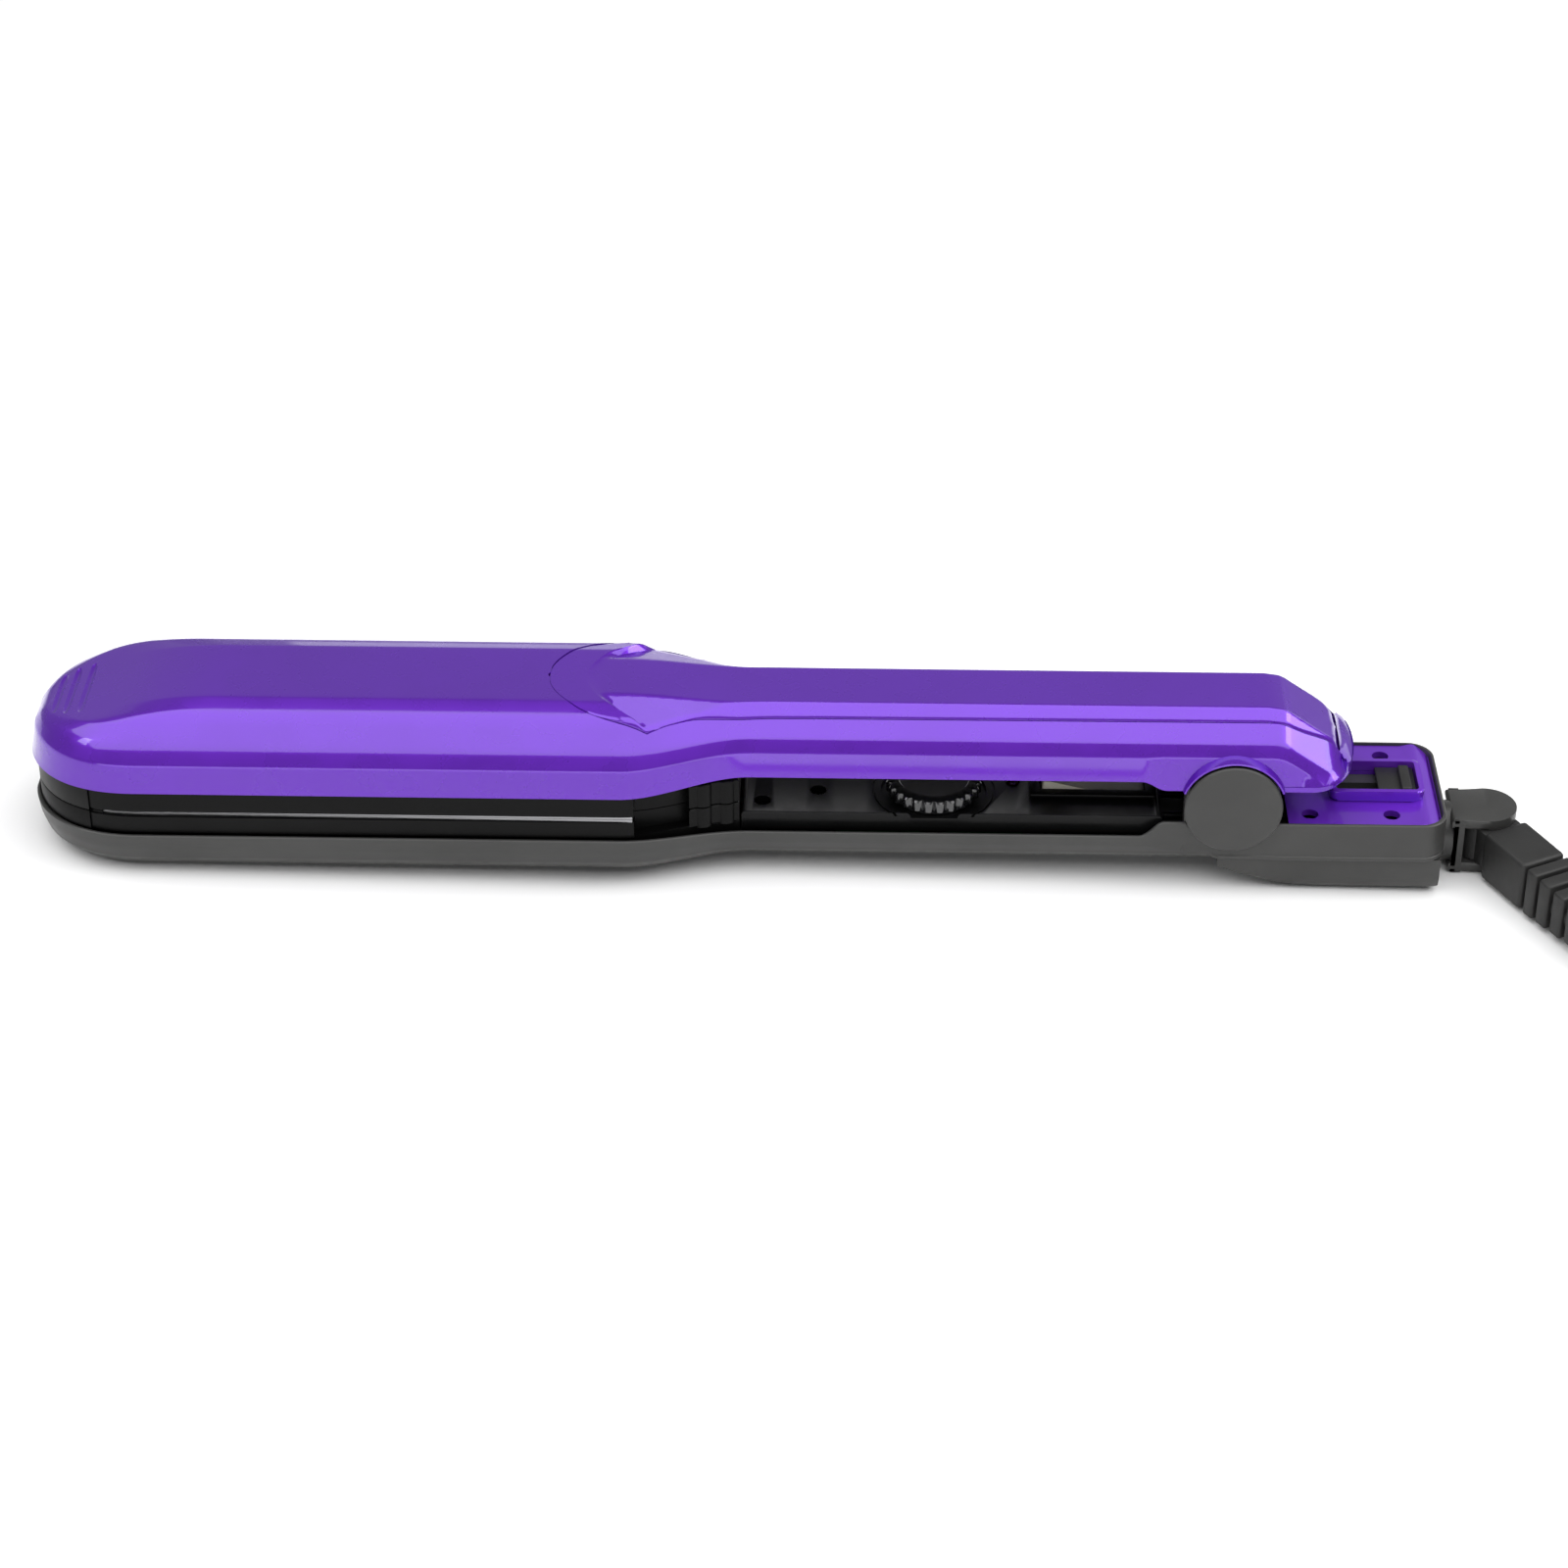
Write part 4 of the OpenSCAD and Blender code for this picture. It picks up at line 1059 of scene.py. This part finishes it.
tray_levels = []
for inset, z in ((1.9, 15.4), (1.9, 15.8), (0.7, 16.0), (0.7, 16.55), (0.9, 16.75), (3, 16.75)):
    xs = [102.6 + inset * 0.3] + steps(104, 129, 1) + steps(129, 134, 0.4) + [134.1 - inset * 0.3]
    corner = [min(1, (134.8 - x) / 3.2) for x in xs]
    tray_levels.append(both_sides([(x, half_width(x, REAR_HALF) - inset - 3 * (1 - c) ** 2)
                                   for x, c in zip(xs, corner)],
                                  lambda x: z + 0.35 * share(x, (128, 130.5)) * (z - 15.4)
                                  - 0.3 * max(0, x - 131) * (z - 15.4)))
tray = solid("tail_tray_deck", tube_of_rings(tray_levels), PURPLE_TRAY)
collar = plate_of(round_rect(111.9, 130.9, -6.25, 6.25, 1.6), 16.9, 19.2, 0.4, 3)
tray = cut(tray, collar, "UNION")
cut(tray, plate_of(round_rect(113, 129.8, -5.2, 5.2, 0.8), 10, 20, 0))
screw_wells(tray, TRAY_SCREWS, 1.7, 14, 22)
stand_in(tray, "lower_arm", "purple_gloss", "tail_tray")

slider = joined(block((121.9, -5.05, 17.1), (129.6, 5.05, 17.9), 0.2),
                block((126.4, -4.4, 16.5), (128.6, 4.4, 19), 0.4, 3),
                block((123.4, -1.8, 14.4), (126, 1.8, 17.5), 0.1))
stand_in(solid("lock_button", slider, GUARD), "lock", "black_plastic", "lock_slider")

# ---- Swivel and guard ----

NECK_R = 6.2
FORK_X = 137.6
GUARD_TURN = -62
LINK = 4.4
KNUCKLE_TURN = Matrix.Translation(KNUCKLE) @ Matrix.Rotation(math.radians(GUARD_TURN), 4, "Z")
arc = [math.radians(a) for a in range(-90, 91, 6)]
stadium = [(137 - KNUCKLE.x, -NECK_R), *((NECK_R * math.cos(a), NECK_R * math.sin(a)) for a in arc),
           (137 - KNUCKLE.x, NECK_R)]
neck = [turned(disc(NECK_R, 134.95, 138, 0.4), (0, 0, NECK_Z), "x", 96),
        turned([(5, 115.6), (5, 117.6), (4, 117.6), (4, 136)], (0, 0, NECK_Z), "x", 64)]
for gap, y0, y1 in ((6.1, -6.17, 6.17), (4.9, -6.17, -3.8), (4.9, 3.8, 6.17)):
    neck.append(block((FORK_X, y0, -0.07), (KNUCKLE.x - gap, y1, 12.27), 0))
for z in (-NECK_R, 4.1):
    neck.append(moved(plate_of(stadium, z, z + 2.1, 0.9, 5), Matrix.Translation(KNUCKLE)))
stand_in(solid("cord_swivel_neck", joined(*neck), CHARCOAL), "swivel", "charcoal_plastic", "swivel_neck")

# The guard, along x from the knuckle: its drum, a short neck, the head, and ever smaller links on a core.
drum = [(5.6, -4), (5.9, -3.7), (5.9, 3.7), (5.6, 4), (1.55, 4), (1.55, -4)]
guard = [ring_of(drum, (0, 0, 0), "z", 96), block((3, -4.6, -4), (8, 4.6, 4), 0.4)]
guard.append(block((6.7, -5.1, -5.9), (20.2, 5.1, 4.9), 0.9, 4))
guard.append(block((21.1, -5.05, -5.85), (24.2, 5.05, 4.85), 0.6, 3))
for i in range(1, 6):
    half, low, high = 5.1 - 0.2 * i, -5.9 + 0.25 * i, 4.9 - 0.25 * i
    guard.append(block((20.6 + LINK * i, -half, low), (24 + LINK * i, half, high), 0.6, 3))
guard.append(turned([(3.9, 19), (3.9, 45.6), (3.6, 46)], (0, 0, -0.5), "x", 48))
guard = solid("cord_guard_boot", moved(joined(*guard), KNUCKLE_TURN), GUARD)
stand_in(guard, "cord_lead", "guard_rubber", "cord_guard")

# ---- Tie and plug, on the table ----

PLUG_AT = Vector((270, HANK_C.y, 26.5))
strap = []
for x, grow in ((240.3, 0), (240.1, 0.15), (251.9, 0.15), (251.7, 0), (251.7, -0.45), (240.3, -0.45)):
    loop = round_rect(-30.15 - grow, 30.15 + grow, max(0, 0.15 - grow), 20.55 + grow, 3.6 + grow)
    strap.append([Vector((x, HANK_C.y + y, z)) for y, z in loop])
tie_part = tube_of_rings(strap + strap[:1], None, None)
tie = stand_in(solid("hank_tie_strap", tie_part, STRAP, TABLE), "cord_lead", "cord_rubber", "cord_tie")


def plug_ring(x, half, tall, n=64, power=2.6):
    """A squarish ring round the plug's axis, half wide and tall high on each side of it."""
    ring = []
    for i in range(n):
        c, s = math.cos(math.tau * i / n), math.sin(math.tau * i / n)
        y = half * math.copysign(abs(c) ** (2 / power), c)
        z = tall * math.copysign(abs(s) ** (2 / power), s)
        ring.append(PLUG_AT + Vector((x, y, z)))
    return ring


plug_shape = smooth_path([(0, 4.6, 4.6), (4, 5.2, 5.1), (8, 6.4, 5.5), (12, 8.7, 5.9), (16, 12, 6.4),
                          (20, 15, 6.8), (24, 17, 7), (28, 17.4, 7), (31.5, 17, 7), (33.6, 16.2, 6.5)], 0.5)
plug = solid("mains_plug_body", tube_of_rings([plug_ring(*p) for p in plug_shape]
                                              + [plug_ring(34, 15.6, 6)], "face", "face"), PLUG, TABLE)
for x in (2.2, 4.4, 6.6, 8.8):
    outer = [plug_ring(x + dx, 12, 10) for dx in (0, 0.9)]
    inner = [plug_ring(x + dx, 3.9 + x * 0.18, 4 + x * 0.06) for dx in (0.9, 0)]
    cut(plug, tube_of_rings(outer + inner + outer[:1], None, None), place=TABLE)
stand_in(plug, "cord_lead", "plug_black", "plug_body")
pin = [(2, 0), (2, 17.6), (1.7, 18.5), (1.2, 19)]
pins = joined(*[turned(pin, PLUG_AT + Vector((34, y, 0)), "x", 40) for y in (-9.3, 9.3)])
pins = stand_in(solid("mains_plug_pins", pins, PIN_METAL, TABLE), "cord_lead", "pin_metal", "plug_pins")

# ---- CAD pieces kept as they are, in better materials ----

KEPT = {
    STEEL: ("hinge_pin", "hinge_washers", "opening_spring", "knuckle_pin", "dial_shaft", "upper_heater_clamp",
            "lower_heater_clamp"),
    CERAMIC: ("upper_heater", "lower_heater"),
    SILICONE: ("upper_leads", "lower_leads"),
    BOARD: ("control_board",),
    BLACK: ("dial_pot", "power_leads"),
    CHARCOAL: ("lock_track",),
    BUSH: ("swivel_bush",),
}
for material, nodes in KEPT.items():
    for node in nodes:
        for slot in frame["nodes"][node].material_slots:
            slot.material = material

# ---- Floor and light ----

floor_mesh = bpy.data.meshes.new("floor")
floor_mesh.from_pydata([(-3, -3, 0), (3, -3, 0), (3, 3, 0), (-3, 3, 0)], [], [(0, 1, 2, 3)])
floor = bpy.data.objects.new("floor", floor_mesh)
floor.location.z = -0.0002
bpy.context.scene.collection.objects.link(floor)
floor_look = Look("floor_white")
floor_look.set(Base_Color=(0.86, 0.86, 0.86, 1), Roughness=0.7, Specular_IOR_Level=0.2)
floor_look.wire(floor_look.ramp(floor_look.noise(60, 3), 0.3, 0.7, 0.68, 0.74), "Roughness")
floor_mesh.materials.append(floor_look.material)


def softbox(name, at, aim, size, radiance, colour=(1, 1, 1)):
    """An area light of a given radiance that faces the point aim."""
    light = bpy.data.lights.new(name, "AREA")
    light.shape = "RECTANGLE"
    light.size, light.size_y = size
    light.energy = radiance * math.pi * size[0] * size[1]
    light.color = colour
    thing = bpy.data.objects.new(name, light)
    thing.location = at
    thing.rotation_euler = (Vector(aim) - Vector(at)).to_track_quat("-Z", "Y").to_euler()
    bpy.context.scene.collection.objects.link(thing)


softbox("overhead", (0, -0.3, 0.9), (0, -0.3, 0), (2.4, 1.5), 2.25)
softbox("back_low", (0.15, 1.5, 0.22), (0.15, 0, 0.1), (0.95, 0.25), 0.8)
softbox("back_mid", (0, 1.4, 0.65), (0, 0, 0.02), (2.4, 0.6), 0.14)
softbox("back_right", (1.1, 0.95, 0.62), (0.1, 0, 0.02), (0.7, 0.7), 1.3)
softbox("right_side", (1.25, -0.16, 0.92), (0.1, 0, 0.02), (0.6, 0.6), 5.5)
softbox("front_low", (0, -1.6, 0.17), (0, 0, 0.05), (2.6, 0.3), 2.2)
softbox("left_corner", (-1.1, -0.5, 0.8), (-0.1, 0, 0.02), (0.25, 0.25), 5)
world = bpy.data.worlds.new("studio")
world.use_nodes = True
world.node_tree.nodes["Background"].inputs["Color"].default_value = (0.9, 0.9, 0.92, 1)
world.node_tree.nodes["Background"].inputs["Strength"].default_value = 0.25
bpy.context.scene.world = world
bpy.context.scene.view_settings.view_transform = "Standard"
